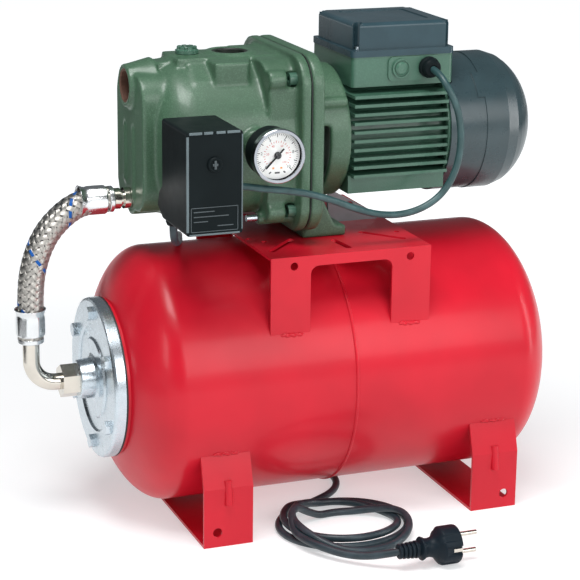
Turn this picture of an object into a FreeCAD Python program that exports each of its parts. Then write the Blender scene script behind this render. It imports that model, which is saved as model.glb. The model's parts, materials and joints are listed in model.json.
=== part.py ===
import FreeCAD, Part

import math
import os
import re

import Sketcher
from FreeCAD import Placement, Rotation, Vector

# A shallow well jet pump set: a jet pump and its motor stand on a horizontal pressure vessel.
# +X runs along the vessel towards the motor fan, -Y is the front, Z is up from the floor.
# Positions are measured from the vessel's mid-length and axis plane; frame_x and frame_y then
# move everything so that the origin lies under the middle of the set, cord left out.

# alias, value in mm, meaning
DIMENSIONS = [
    ("frame_x", 34.2, "shift of the set along X"),
    ("frame_y", 14.3, "shift of the set along Y"),
    # pressure vessel
    ("tank_radius", 135, "outside radius of the vessel"),
    ("tank_height", 150.65, "height of the vessel axis"),
    ("tank_half", 185.6, "half length of the vessel cylinder"),
    ("dome_depth", 60, "depth of each domed end"),
    ("tank_wall", 1.6, "vessel sheet thickness"),
    ("seam_x", -5.8, "place of the girth weld"),
    ("seam_radius", 1.7, "radius of the weld bead"),
    ("collar_x", -236, "sealing face of the vessel collar"),
    ("collar_radius", 83, "outside radius of the collar"),
    ("collar_bore", 58, "bore radius of the collar"),
    ("collar_deep", 13, "depth of the collar"),
    ("valve_radius", 4, "radius of the air valve stem"),
    ("valve_reach", 16, "how far the air valve stands out"),
    # membrane
    ("bag_radius", 112, "radius of the rubber bag"),
    ("bag_left", -160, "start of the bag cylinder"),
    ("bag_right", 150, "end of the bag cylinder"),
    ("bag_dome", 46, "depth of the bag's ends"),
    ("bag_wall", 2, "rubber thickness"),
    ("neck_radius", 55, "outside radius of the bag's neck"),
    ("lip_thick", 2, "thickness of the bag's sealing lip"),
    # flange
    ("flange_radius", 84.25, "radius of the vessel flange"),
    ("flange_thick", 12, "thickness of the vessel flange"),
    ("flange_face", -250, "front face of the vessel flange"),
    ("neck_end", -267, "end of the flange neck"),
    ("flange_neck", 20, "radius of the flange neck"),
    ("water_bore", 9.6, "radius of the water way in the flange"),
    ("groove_in", 41, "inner radius of the pressed ring"),
    ("groove_out", 57, "outer radius of the pressed ring"),
    ("groove_deep", 2, "depth of the pressed ring"),
    ("bolt_circle", 70, "radius of the flange bolt circle"),
    ("bolt_hole", 4.1, "radius of an M8 hole"),
    ("bolt_shank", 4, "radius of an M8 shank"),
    ("bolt_head", 7.5, "circumradius of an M8 hexagon"),
    ("head_high", 5.3, "height of an M8 head"),
    # feet
    ("foot_width", 53, "width of a foot strip"),
    ("foot_left", -172.6, "left edge of the left foot"),
    ("foot_right", 129.4, "left edge of the right foot"),
    ("foot_half", 134, "half depth of a foot"),
    ("foot_bend", 63, "height where a foot turns in"),
    ("foot_weld", 99, "top of a foot's leaf"),
    ("weld_half", 122.5, "half depth at a foot's top"),
    ("strip_thick", 3, "thickness of the steel strips"),
    ("fix_height", 15.8, "height of a foot's fixing hole"),
    ("fix_offset", 11.8, "distance of the fixing hole from mid-width"),
    ("fix_radius", 5, "radius of a fixing hole"),
    ("foot_rib", 4, "radius of the pressed rib"),
    # pump bracket
    ("deck_height", 296, "top of the pump bracket"),
    ("deck_left", -96.3, "left end of the bracket"),
    ("deck_right", 79.8, "right end of the bracket"),
    ("deck_half", 118.3, "half depth of the bracket"),
    ("tab_width", 43, "width of a bracket tab"),
    ("tab_low", 214, "lowest point of a tab before trimming"),
    ("skirt_deep", 11, "height of the edge above the window"),
    ("window_corner", 9, "corner radius of the window"),
    ("tab_hole", 4.2, "radius of a tab hole"),
    ("tab_hole_drop", 9.9, "depth of a tab hole under the deck"),
    ("tab_hole_left", -71.3, "place of the left tab hole"),
    ("tab_hole_right", 56.7, "place of the right tab hole"),
    ("slot_radius", 3.5, "half width of a bracket slot"),
    # hose
    ("elbow_x", -315, "centre of the rising elbow leg"),
    ("pipe_radius", 8.75, "radius of the elbow pipe"),
    ("pipe_bore", 6.2, "water way of the elbow pipe"),
    ("union_start", -267, "end of the union nut at the flange"),
    ("union_end", -285, "far end of the union nut"),
    ("union_head", 18, "circumradius of the union nut"),
    ("ferrule_radius", 15, "radius of a crimped ferrule"),
    ("ferrule_long", 36, "length of a crimped ferrule"),
    ("ferrule_low", 196, "bottom of the lower ferrule"),
    ("ferrule_high", -262, "hose side of the upper ferrule"),
    ("hose_radius", 13, "radius of the braided hose"),
    ("hose_height", 341, "height of the upper hose end"),
    ("barb_long", 22, "length of pipe inside the hose"),
    # pump casing
    ("shaft_height", 400, "height of the pump and motor axis"),
    ("joint_x", -43, "joint between casing and adapter"),
    ("joint_half", 91.5, "half width of the joint flange"),
    ("joint_rise", 92, "half height of the joint flange"),
    ("joint_corner", 33, "corner radius of the joint flange"),
    ("joint_thick", 11, "thickness of the casing flange"),
    ("barrel_radius", 82, "outside radius of the casing"),
    ("barrel_bore", 74, "inside radius of the casing"),
    ("barrel_end", -192, "front end of the casing barrel"),
    ("barrel_round", 32, "rounding of the barrel's front edge"),
    ("nose_x", -207, "front face of the casing nose"),
    ("nose_half", 46, "half width of the casing nose"),
    ("nose_low", 330, "bottom of the casing nose"),
    ("nose_tall", 142, "height of the casing nose"),
    ("suction_x", -213, "face of the suction port"),
    ("suction_high", 457.5, "height of the suction port"),
    ("port_bore", 16.6, "radius inside a G1 port"),
    ("port_long", 18, "length of a G1 thread"),
    ("port_chamfer", 2.5, "chamfer at the mouth of the delivery port"),
    ("boss_radius", 22, "radius of the suction boss"),
    ("delivery_x", -99.5, "place of the delivery port"),
    ("delivery_high", 488.6, "face of the delivery port"),
    ("delivery_boss", 25.5, "radius of the delivery boss"),
    ("pad_left", -165, "left end of the top pad"),
    ("pad_half", 27, "half width of the top pad"),
    ("pad_high", 486.2, "top of the pad"),
    ("priming_x", -145.6, "place of the priming plug"),
    ("priming_hole", 8.06, "radius of the priming hole"),
    ("plug_shank", 8, "radius of the priming plug's shank"),
    ("plug_head", 12, "radius of the priming plug's head"),
    ("plug_top", 494.5, "top of the priming plug"),
    ("corner_y", 71, "half spacing of the casing screws across"),
    ("corner_z", 68, "half spacing of the casing screws in height"),
    ("corner_boss", 10, "radius of a casing screw boss"),
    ("drain_x", -91, "face of the casing's drain boss"),
    ("drain_y", -60, "depth of the drain boss"),
    ("drain_high", 324.5, "height of the drain boss"),
    ("tapping_radius", 6.6, "radius of a G1/4 tapping"),
    ("gasket_thick", 0.8, "thickness of the casing gasket"),
    ("plate_left", -55, "right end of the top pad"),
    # hydraulics inside
    ("shaft_radius", 7, "shaft radius in the pump"),
    ("wheel_radius", 62, "radius of the impeller"),
    ("eye_radius", 17, "radius of the impeller eye"),
    ("seal_radius", 14, "radius of the shaft seal"),
    ("run_gap", 0.06, "radial gap of a running fit"),
    # adapter and foot
    ("adapter_thick", 14, "thickness of the adapter flange"),
    ("lantern_radius", 70, "outside radius of the adapter neck"),
    ("lantern_bore", 62, "inside radius of the adapter neck"),
    ("motor_start", 10, "joint between adapter and motor"),
    ("window_end", -13.5, "end of the adapter's side windows"),
    ("stand_half", 53.5, "half depth of the pump foot"),
    ("stand_toe", 12, "end of the pump foot's toe"),
    ("stand_bolt_x", -14, "place of the foot bolts"),
    ("stand_bolt_y", 36, "half spacing of the foot bolts"),
    # motor
    ("motor_end", 119, "rear end of the motor frame"),
    ("frame_radius", 58, "outside radius of the motor frame"),
    ("frame_bore", 52, "bore of the motor frame"),
    ("fin_half", 68, "half width over the fin tips"),
    ("fin_first", 361, "height of the lowest fin"),
    ("fin_pitch", 9.2, "pitch of the fins"),
    ("fin_thick", 3.2, "thickness of a fin"),
    ("belly_low", 342, "bottom of the motor frame"),
    ("belly_half", 60, "half width of the frame's lower part"),
    ("box_left", 14.6, "left end of the terminal box"),
    ("box_right", 128.7, "right end of the terminal box"),
    ("box_half", 55, "half width of the terminal box"),
    ("box_low", 452, "bottom of the terminal box"),
    ("box_high", 483, "top of the terminal box"),
    ("box_wall", 3, "wall of the terminal box"),
    ("lid_high", 517.5, "top of the terminal lid"),
    ("lid_rim", 6.5, "height of the lid's rim"),
    ("lid_edge", 5, "rounding of the lid's top edges"),
    ("lid_post", 9.5, "distance of a lid screw from the box's sides"),
    ("channel_half", 3.8, "half width of a lid screw's channel"),
    ("screw_seat", 490, "height under a lid screw's head"),
    ("lid_step", 4, "step between the lid's rim and crown"),
    ("gland_x", 99, "place of the motor cable gland"),
    ("gland_high", 470, "height of the motor cable gland"),
    ("gland_radius", 11, "radius of a gland nut"),
    ("knockout_x", 68, "place of the blanked entry"),
    ("core_left", 38, "start of the motor's iron"),
    ("core_right", 98, "end of the motor's iron"),
    ("stator_bore", 34, "bore of the stator"),
    ("rotor_radius", 33.6, "radius of the rotor"),
    ("spindle_radius", 8.5, "shaft radius in the motor"),
    ("race_outer", 20, "outside radius of a bearing"),
    ("race_outer_in", 17, "inside radius of an outer race"),
    ("race_inner_out", 11.5, "outside radius of an inner race"),
    ("race_width", 12, "width of a bearing"),
    ("race_front", -4, "place of the front bearing"),
    ("race_rear", 119, "place of the rear bearing"),
    ("ball_radius", 2.7, "radius of a bearing ball"),
    ("ball_circle", 14.25, "radius of the ball circle"),
    ("cover_left", 121, "front edge of the fan cover"),
    ("cover_right", 230, "rear end of the fan cover"),
    ("cover_radius", 74, "radius of the fan cover"),
    ("cover_wall", 2.5, "wall of the fan cover"),
    ("cover_dome", 42, "depth of the fan cover's rounded end"),
    ("cover_flat", 30, "radius of the flat in the middle of that end"),
    ("cover_seam", 162.5, "place of the step between the cover's two parts"),
    ("cover_notch", 154.5, "place of the step where it is notched"),
    ("cover_step", 0.9, "height of that step"),
    ("fan_radius", 63, "radius of the fan"),
    ("fan_x", 152, "front face of the fan disc"),
    # pressure switch
    ("switch_left", -201, "left side of the pressure switch"),
    ("switch_right", -144, "right side of the pressure switch"),
    ("switch_front", -165, "front of the pressure switch"),
    ("switch_back", -90, "back of the switch cover"),
    ("switch_low", 339, "bottom of the pressure switch"),
    ("switch_high", 440, "top of the pressure switch"),
    ("switch_wall", 2.2, "wall of the switch cover"),
    ("switch_x", -172.5, "mid-width of the pressure switch"),
    ("switch_port", 388, "height of the switch's pressure port"),
    ("screw_high", 408, "height of the cover screw"),
    ("entry_y", -122, "depth of the switch's cord entries"),
    ("entry_high", 374, "height of the motor lead's entry"),
    ("mains_x", -192, "place of the mains cord's entry along X"),
    ("mains_y", -97, "depth of the mains cord's entry"),
    ("mains_nut", 7.5, "radius of the mains cord's gland"),
    ("plunger_radius", 4, "radius of the switch plunger"),
    ("plunger_long", 13, "length of the switch plunger"),
    ("contacts_low", 347, "bottom of the switch contacts"),
    ("pivot_y", -103, "depth of the lever pivot"),
    ("pivot_high", 360, "height of the lever pivot"),
    # gauge
    ("gauge_x", -101.4, "centre of the pressure gauge"),
    ("gauge_high", 408, "height of the gauge centre"),
    ("gauge_radius", 27, "radius of the gauge bezel"),
    ("gauge_case", 25.2, "radius of the gauge case"),
    ("gauge_front", -152, "front of the gauge bezel"),
    ("gauge_back", -120, "back of the gauge case"),
    # cords and plug
    ("lead_radius", 3.65, "radius of the motor lead"),
    ("cord_radius", 4, "radius of the mains cord"),
    ("coil_x", -18, "centre of the coil along X"),
    ("coil_y", -137, "centre of the coil along Y"),
    ("coil_out", 70.5, "outer radius of the coil"),
    ("coil_in", 42, "inner radius of the coil"),
    ("coil_high", 15.6, "height of the coil"),
    ("plug_x", 16, "start of the plug body"),
    ("plug_y", -248.5, "plug axis along Y"),
    ("plug_high", 20, "height of the plug axis"),
    ("plug_radius", 19.8, "radius of the plug body"),
    ("plug_long", 40, "length of the plug body"),
    ("pin_radius", 2.4, "radius of a plug pin"),
    ("pin_long", 22, "length of a plug pin"),
    ("pin_half", 9.5, "half spacing of the plug pins"),
]

doc = FreeCAD.newDocument("JetPumpSet")
dims = doc.addObject("Spreadsheet::Sheet", "dims")
for line, (alias, amount, meaning) in enumerate(DIMENSIONS, start=1):
    dims.set(f"A{line}", meaning)
    dims.set(f"B{line}", str(amount))
    dims.setAlias(f"B{line}", alias)
doc.recompute()

TURN = {
    "+x": Rotation(Vector(0, 1, 0), 90),
    "-x": Rotation(Vector(0, 1, 0), -90),
    "+y": Rotation(Vector(1, 0, 0), -90),
    "-y": Rotation(Vector(1, 0, 0), 90),
    "+z": Rotation(),
    "-z": Rotation(Vector(1, 0, 0), 180),
}
# the profile of a turned piece lies along local X, so its turns differ
LATHE = {
    "+x": Rotation(),
    "-x": Rotation(Vector(0, 0, 1), 180),
    "+y": Rotation(Vector(0, 0, 1), 90),
    "-y": Rotation(Vector(0, 0, 1), -90),
    "+z": Rotation(Vector(0, 1, 0), -90),
    "-z": Rotation(Vector(0, 1, 0), 90),
}
PLANE = {"XY": "XY_Plane", "XZ": "XZ_Plane", "YZ": "YZ_Plane"}
# the fan cover's notch, as angles above the front
NOTCH_LOW = math.radians(29.5)
NOTCH_SWEEP = 23.5
# a gland's thread as a share of its nut
THREAD = 0.66
nodes = []


# ---- helpers -----------------------------------------------------------------


def formula(text):
    """Writes the aliases in text as cells of the sheet."""
    return re.sub(r"\b([a-z]+(?:_[a-z]+)+)\b", r"dims.\1", str(text))


def size(text):
    """The value of a formula of aliases."""
    return float(dims.evalExpression(formula(text)))


def bind(item, **sizes):
    for name, text in sizes.items():
        item.setExpression(name, formula(text))


def place(item, at, rotation=None):
    """Puts a piece at a point given from the vessel's middle."""
    item.Placement = Placement(Vector(), rotation or Rotation())
    x, y, z = at
    item.setExpression("Placement.Base.x", formula(f"{x} + frame_x"))
    item.setExpression("Placement.Base.y", formula(f"{y} + frame_y"))
    item.setExpression("Placement.Base.z", formula(z))
    return item


def point(x, y, z):
    """A point of the row frame, from formulas measured from the vessel's middle."""
    return Vector(size(x) + size("frame_x"), size(y) + size("frame_y"), size(z))


def cylinder(name, radius, length, at, along="+z"):
    item = doc.addObject("Part::Cylinder", name)
    bind(item, Radius=radius, Height=length)
    return place(item, at, TURN[along])


def cone(name, start, end, length, at, along="+z"):
    item = doc.addObject("Part::Cone", name)
    bind(item, Radius1=start, Radius2=end, Height=length)
    return place(item, at, TURN[along])


def torus(name, ring, radius, at, along="+z"):
    item = doc.addObject("Part::Torus", name)
    bind(item, Radius1=ring, Radius2=radius)
    return place(item, at, TURN[along])


def block(name, low, high, rotation=None):
    """A box between two corners."""
    item = doc.addObject("Part::Box", name)
    spans = [f"({b}) - ({a})" for a, b in zip(low, high)]
    bind(item, Length=spans[0], Width=spans[1], Height=spans[2])
    return place(item, low, rotation)


def hexagon(name, circumradius, length, at, along="+z", sides=6):
    item = doc.addObject("Part::Prism", name)
    item.Polygon = sides
    bind(item, Circumradius=circumradius, Height=length)
    return place(item, at, TURN[along])


def dome(name, depth, radius, at):
    """A full ellipsoid of turning whose short axis is X."""
    item = doc.addObject("Part::Ellipsoid", name)
    bind(item, Radius1=depth, Radius2=radius, Radius3=radius)
    return place(item, at, TURN["+x"])


def fuse(name, *pieces):
    item = doc.addObject("Part::MultiFuse", name)
    item.Shapes = list(pieces)
    return item


def cut(name, base, *tools):
    item = doc.addObject("Part::Cut", name)
    item.Base = base
    item.Tool = tools[0] if len(tools) == 1 else fuse(name + "_tools", *tools)
    return item


def group(name, pieces):
    item = doc.addObject("Part::Compound", name)
    item.Links = list(pieces)
    return item


def keep(item):
    """Marks a finished sub-part for export under its own label."""
    item.Label = item.Name
    nodes.append(item)
    return item


def outline(body, plane, corners):
    """A closed sketch of straight lines whose corners are bound to formulas."""
    sketch = body.newObject("Sketcher::SketchObject", body.Name + "_outline")
    face = [part for part in body.Origin.OriginFeatures if part.Role == PLANE[plane]][0]
    sketch.AttachmentSupport = [(face, "")]
    sketch.MapMode = "FlatFace"
    places = [Vector(size(a), size(b), 0) for a, b in corners]
    for index, start in enumerate(places):
        sketch.addGeometry(Part.LineSegment(start, places[(index + 1) % len(places)]), False)
    for index, (across, up) in enumerate(corners):
        sketch.addConstraint(Sketcher.Constraint("Coincident", index, 2, (index + 1) % len(places), 1))
        for kind, text, zero_axis in (("DistanceX", across, -2), ("DistanceY", up, -1)):
            if abs(size(text)) < 1e-9:
                sketch.addConstraint(Sketcher.Constraint("PointOnObject", index, 1, zero_axis))
                continue
            link = sketch.addConstraint(Sketcher.Constraint(kind, -1, 1, index, 1, size(text)))
            sketch.setExpression(f"Constraints[{link}]", formula(text))
    return sketch


def along_edges(shape, direction):
    """Names of the straight edges that run along a direction."""
    names = []
    for index, edge in enumerate(shape.Edges, start=1):
        if edge.Curve.TypeId != "Part::GeomLine":
            continue
        if abs(abs(edge.Curve.Direction.dot(direction)) - 1) < 1e-6:
            names.append(f"Edge{index}")
    return names


def top_edges(shape):
    """Names of the edges that lie wholly at the top of a shape."""
    high = shape.BoundBox.ZMax - 1e-4
    return [f"Edge{index}" for index, edge in enumerate(shape.Edges, start=1) if edge.BoundBox.ZMin > high]


def turned(name, profile, at, along="+x"):
    """A body turned about its own X axis from a profile of (along, radius) corners."""
    body = doc.addObject("PartDesign::Body", name)
    sketch = outline(body, "XZ", profile)
    spin = body.newObject("PartDesign::Revolution", name + "_turn")
    spin.Profile = sketch
    spin.ReferenceAxis = (sketch, ["H_Axis"])
    spin.Angle = 360
    return place(body, at, LATHE[along])


def padded(name, plane, corners, length, at, corner=None):
    """A body padded from an outline, with the edges along the pad rounded by corner."""
    body = doc.addObject("PartDesign::Body", name)
    pad = body.newObject("PartDesign::Pad", name + "_pad")
    pad.Profile = outline(body, plane, corners)
    bind(pad, Length=length)
    if corner:
        doc.recompute()
        normal = {"XY": Vector(0, 0, 1), "XZ": Vector(0, 1, 0), "YZ": Vector(1, 0, 0)}[plane]
        rounding = body.newObject("PartDesign::Fillet", name + "_rounding")
        rounding.Base = (pad, along_edges(pad.Shape, normal))
        bind(rounding, Radius=corner)
    return place(body, at)


def rectangle(half_across, low, high):
    return [(f"-({half_across})", low), (half_across, low), (half_across, high), (f"-({half_across})", high)]


def path(points):
    """Straight runs joined by tangent arcs, each as large as its two runs allow."""
    edges = []
    radii = []
    start = points[0]
    for before, here, after in zip(points, points[1:], points[2:]):
        run_in = here - before
        run_out = after - here
        turn = run_in.getAngle(run_out)
        reach = 0.45 * min(run_in.Length, run_out.Length)
        radii.append(reach / math.tan(turn / 2))
        first = here - Vector(run_in).normalize() * reach
        last = here + Vector(run_out).normalize() * reach
        chord_mid = (first + last) / 2
        inward = Vector(chord_mid - here).normalize()
        depth = reach * math.tan(math.pi / 4 - turn / 4) if turn > 0 else 0
        height = (chord_mid - here).Length
        sagitta = radii[-1] * (1 - math.cos(turn / 2))
        middle = here + inward * (height - sagitta) if depth >= 0 else here
        edges.append(Part.LineSegment(start, first).toShape())
        edges.append(Part.Arc(first, middle, last).toShape())
        start = last
    edges.append(Part.LineSegment(start, points[-1]).toShape())
    return Part.Wire(edges), radii


def tube(name, route, radius, bore=None):
    """A cord or hose along a route; bore makes it hollow."""
    points = [point(*place) for place in route]
    wire, radii = path(points)
    start = Vector(points[1] - points[0]).normalize()

    def sweep(section_radius):
        circle = Part.Wire(Part.Circle(points[0], start, section_radius).toShape())
        return wire.makePipeShell([circle], True, False)

    solid = sweep(size(radius))
    if bore:
        solid = solid.cut(sweep(size(bore)))
    item = doc.addObject("Part::Feature", name)
    item.Shape = solid
    bore_area = math.pi * size(bore) ** 2 if bore else 0
    swept = (math.pi * size(radius) ** 2 - bore_area) * wire.Length
    print(name, "length", round(wire.Length, 1), "radii", [round(r, 1) for r in radii])
    print(name, "volume", round(solid.Volume), "section times length", round(swept))
    return item


# ---- pressure vessel -----------------------------------------------------------


def around(count, first=0.0):
    """Equal angles round a circle, in radians."""
    return [math.radians(first + 360 / count * step) for step in range(count)]


def on_circle(angle, radius, height):
    """Formulas for a point on a circle about an axis along X."""
    return f"{radius} * {math.cos(angle):.6f}", f"{height} + {radius} * {math.sin(angle):.6f}"


def vessel_solid(name, wall):
    """The vessel's outline, set in by wall."""
    radius = f"tank_radius - {wall}"
    barrel = cylinder(name + "_barrel", radius, "2 * tank_half", ("-tank_half", 0, "tank_height"), "+x")
    left = dome(name + "_left", f"dome_depth - {wall}", radius, ("-tank_half", 0, "tank_height"))
    right = dome(name + "_right", f"dome_depth - {wall}", radius, ("tank_half", 0, "tank_height"))
    return fuse(name, barrel, left, right)


def tank_trim(name):
    """A cylinder of the vessel's size that trims the welded strips."""
    return cylinder(name, "tank_radius", "3 * tank_half", ("-1.5 * tank_half", 0, "tank_height"), "+x")


def flange_holes(name):
    holes = []
    for index, angle in enumerate(around(6, 90)):
        y, z = on_circle(angle, "bolt_circle", "tank_height")
        holes.append(cylinder(f"{name}_{index}", "bolt_hole", "40", ("flange_face - 5", y, z), "+x"))
    return fuse(name, *holes)


def make_vessel():
    outer = vessel_solid("vessel_outer", "0")
    inner = vessel_solid("vessel_inner", "tank_wall")
    collar = cylinder("collar_ring", "collar_radius", "collar_deep", ("collar_x", 0, "tank_height"), "+x")
    seam = torus("girth_weld", "tank_radius", "seam_radius", ("seam_x", 0, "tank_height"), "+x")
    skin = cut("vessel_skin", fuse("vessel_welded", outer, seam), inner)
    facing = cylinder("collar_facing", "tank_radius", "40", ("collar_x", 0, "tank_height"), "-x")
    mouth = cylinder("collar_mouth", "collar_bore", "40", ("flange_face", 0, "tank_height"), "+x")
    valve_x = "tank_half + dome_depth"
    valve_hole = cylinder("valve_hole", "valve_radius", "12", (f"{valve_x} - 8", 0, "tank_height"), "+x")
    body = fuse("vessel_body", skin, collar)
    keep(cut("tank_shell", body, facing, mouth, valve_hole, flange_holes("shell_holes")))

    nut = hexagon("valve_nut", "2 * valve_radius", "5", (f"{valve_x} + 0.2", 0, "tank_height"), "+x")
    stem_start = (f"{valve_x} - 8", 0, "tank_height")
    stem = cylinder("valve_stem", "valve_radius", "valve_reach + 8", stem_start, "+x")
    keep(fuse("air_valve", nut, stem))


def bag(name, inset):
    radius = f"bag_radius - {inset}"
    barrel = cylinder(name + "_barrel", radius, "bag_right - bag_left", ("bag_left", 0, "tank_height"), "+x")
    left = dome(name + "_left", f"bag_dome - {inset}", radius, ("bag_left", 0, "tank_height"))
    right = dome(name + "_right", f"bag_dome - {inset}", radius, ("bag_right", 0, "tank_height"))
    neck_long = "bag_left - collar_x + lip_thick"
    neck_x = "collar_x - lip_thick"
    neck = cylinder(name + "_neck", f"neck_radius - {inset}", neck_long, (neck_x, 0, "tank_height"), "+x")
    return fuse(name, barrel, left, right, neck)


def make_membrane():
    lip = cylinder("bag_lip", "flange_radius", "lip_thick", ("collar_x", 0, "tank_height"), "-x")
    skin = fuse("bag_skin", bag("bag_outer", "0"), lip)
    keep(cut("tank_membrane", skin, bag("bag_inner", "bag_wall"), flange_holes("lip_holes")))


def make_flange():
    profile = [
        ("flange_face + flange_thick", "water_bore"),
        ("flange_face + flange_thick", "flange_radius"),
        ("flange_face + 3", "flange_radius"),
        ("flange_face + 0.8", "flange_radius - 0.9"),
        ("flange_face", "flange_radius - 3"),
        ("flange_face", "groove_out"),
        ("flange_face + groove_deep", "groove_out - 2"),
        ("flange_face + groove_deep", "groove_in + 2"),
        ("flange_face", "groove_in"),
        ("flange_face", "flange_neck + 6"),
        ("flange_face - 2", "flange_neck + 1.5"),
        ("neck_end + 1", "flange_neck"),
        ("neck_end", "flange_neck - 1"),
        ("neck_end", "water_bore"),
    ]
    disc = turned("flange_disc", profile, (0, 0, "tank_height"))
    keep(cut("tank_flange", disc, flange_holes("disc_holes")))
    bolts = []
    for index, angle in enumerate(around(6, 90)):
        y, z = on_circle(angle, "bolt_circle", "tank_height")
        head = hexagon(f"flange_head_{index}", "bolt_head", "head_high", ("flange_face", y, z), "-x")
        shank = cylinder(f"flange_shank_{index}", "bolt_shank", "26", ("flange_face", y, z), "+x")
        bolts.append(fuse(f"flange_bolt_{index}", head, shank))
    keep(group("flange_bolts", bolts))


def make_foot(name, left, outward):
    """A bent strip: a leaf at each side that meets the vessel, and a plate on the floor."""
    t = "strip_thick"
    corners = [
        ("-weld_half", "foot_weld"),
        ("-foot_half", "foot_bend"),
        ("-foot_half", "0"),
        ("foot_half", "0"),
        ("foot_half", "foot_bend"),
        ("weld_half", "foot_weld"),
        (f"weld_half - {t}", "foot_weld - 1"),
        (f"foot_half - {t}", "foot_bend - 0.5"),
        (f"foot_half - {t}", t),
        (f"{t} - foot_half", t),
        (f"{t} - foot_half", "foot_bend - 0.5"),
        (f"{t} - weld_half", "foot_weld - 1"),
    ]
    strip = padded(name + "_strip", "YZ", corners, "foot_width", (left, 0, 0))
    middle = f"{left} + foot_width / 2"
    ribs = []
    for side, along in ((-1, "+y"), (1, "-y")):
        rib_y = f"{side} * (foot_half + foot_rib * 0.35)"
        rib = cylinder(f"{name}_rib_{side + 1}", "foot_rib", "26", (middle, rib_y, "foot_bend - 18"))
        rib.Placement.Rotation = Rotation(Vector(1, 0, 0), side * 9)
        ribs.append(rib)
    hole_x = f"{middle} + {outward} * fix_offset"
    hole_start = (hole_x, "-2 * foot_half", "fix_height")
    hole = cylinder(name + "_hole", "fix_radius", "4 * foot_half", hole_start, "+y")
    leaf = fuse(name + "_leaf", strip, *ribs)
    keep(cut(name, leaf, tank_trim(name + "_trim"), hole))


def slot(name, start, end):
    """A slot through the bracket between two points of its top."""
    x, y = start
    run = Vector(end[0] - x, end[1] - y, 0)
    low = "deck_height - 12"
    ends = [cylinder(f"{name}_start", "slot_radius", "24", (x, y, low))]
    ends.append(cylinder(f"{name}_end", "slot_radius", "24", (*end, low)))
    angle = math.degrees(math.atan2(run.y, run.x))
    web = doc.addObject("Part::Box", name + "_web")
    bind(web, Length=f"{run.Length:.3f}", Width="2 * slot_radius", Height="24")
    side = Rotation(Vector(0, 0, 1), angle).multVec(Vector(0, -1, 0))
    corner = (f"{x} + slot_radius * {side.x:.6f}", f"{y} + slot_radius * {side.y:.6f}", low)
    place(web, corner, Rotation(Vector(0, 0, 1), angle))
    return fuse(name, web, *ends)


def make_bracket():
    """A deck with folded sides; each side is cut to two tabs that are welded to the vessel."""
    corners = rectangle("deck_half", "tab_low", "deck_height")
    solid = padded("deck_fold", "YZ", corners, "deck_right - deck_left", ("deck_left", 0, 0))
    under = block(
        "deck_under",
        ("deck_left - 5", "strip_thick - deck_half", "tab_low - 5"),
        ("deck_right + 5", "deck_half - strip_thick", "deck_height - strip_thick"),
    )
    opening = [
        ("deck_left + tab_width", "tab_low - 30"),
        ("deck_right - tab_width", "tab_low - 30"),
        ("deck_right - tab_width", "deck_height - skirt_deep"),
        ("deck_left + tab_width", "deck_height - skirt_deep"),
    ]
    window = padded("deck_window", "XZ", opening, "4 * deck_half", (0, "2 * deck_half", 0), "window_corner")
    tools = [under, window, tank_trim("deck_trim")]
    for index, x in enumerate(("tab_hole_left", "tab_hole_right")):
        at = (x, "-2 * deck_half", "deck_height - tab_hole_drop")
        tools.append(cylinder(f"tab_hole_{index}", "tab_hole", "4 * deck_half", at, "+y"))
    runs = [((-49.5, 52.3), (-84.9, 90)), ((-8.2, 68.8), (-4.9, 99.8)), ((32, 47.4), (62.9, 84.7))]
    for index, (start, end) in enumerate(runs):
        for side in (-1, 1):
            a = (start[0], side * start[1])
            b = (end[0], side * end[1])
            tools.append(slot(f"deck_slot_{index}_{side + 1}", a, b))
    for index, (x, y) in enumerate(((-78.9, -51.6), (-91, -36.3), (68.6, -56.3))):
        tools.append(cylinder(f"deck_hole_{index}", "tab_hole * 0.7", "24", (x, y, "deck_height - 12")))
    for index, side in enumerate((-1, 1)):
        at = ("stand_bolt_x", f"{side} * stand_bolt_y", "deck_height - 12")
        tools.append(cylinder(f"deck_bolt_{index}", "bolt_hole", "24", at))
    keep(cut("pump_bracket", solid, *tools))


# ---- hose and its fittings -----------------------------------------------------


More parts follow.
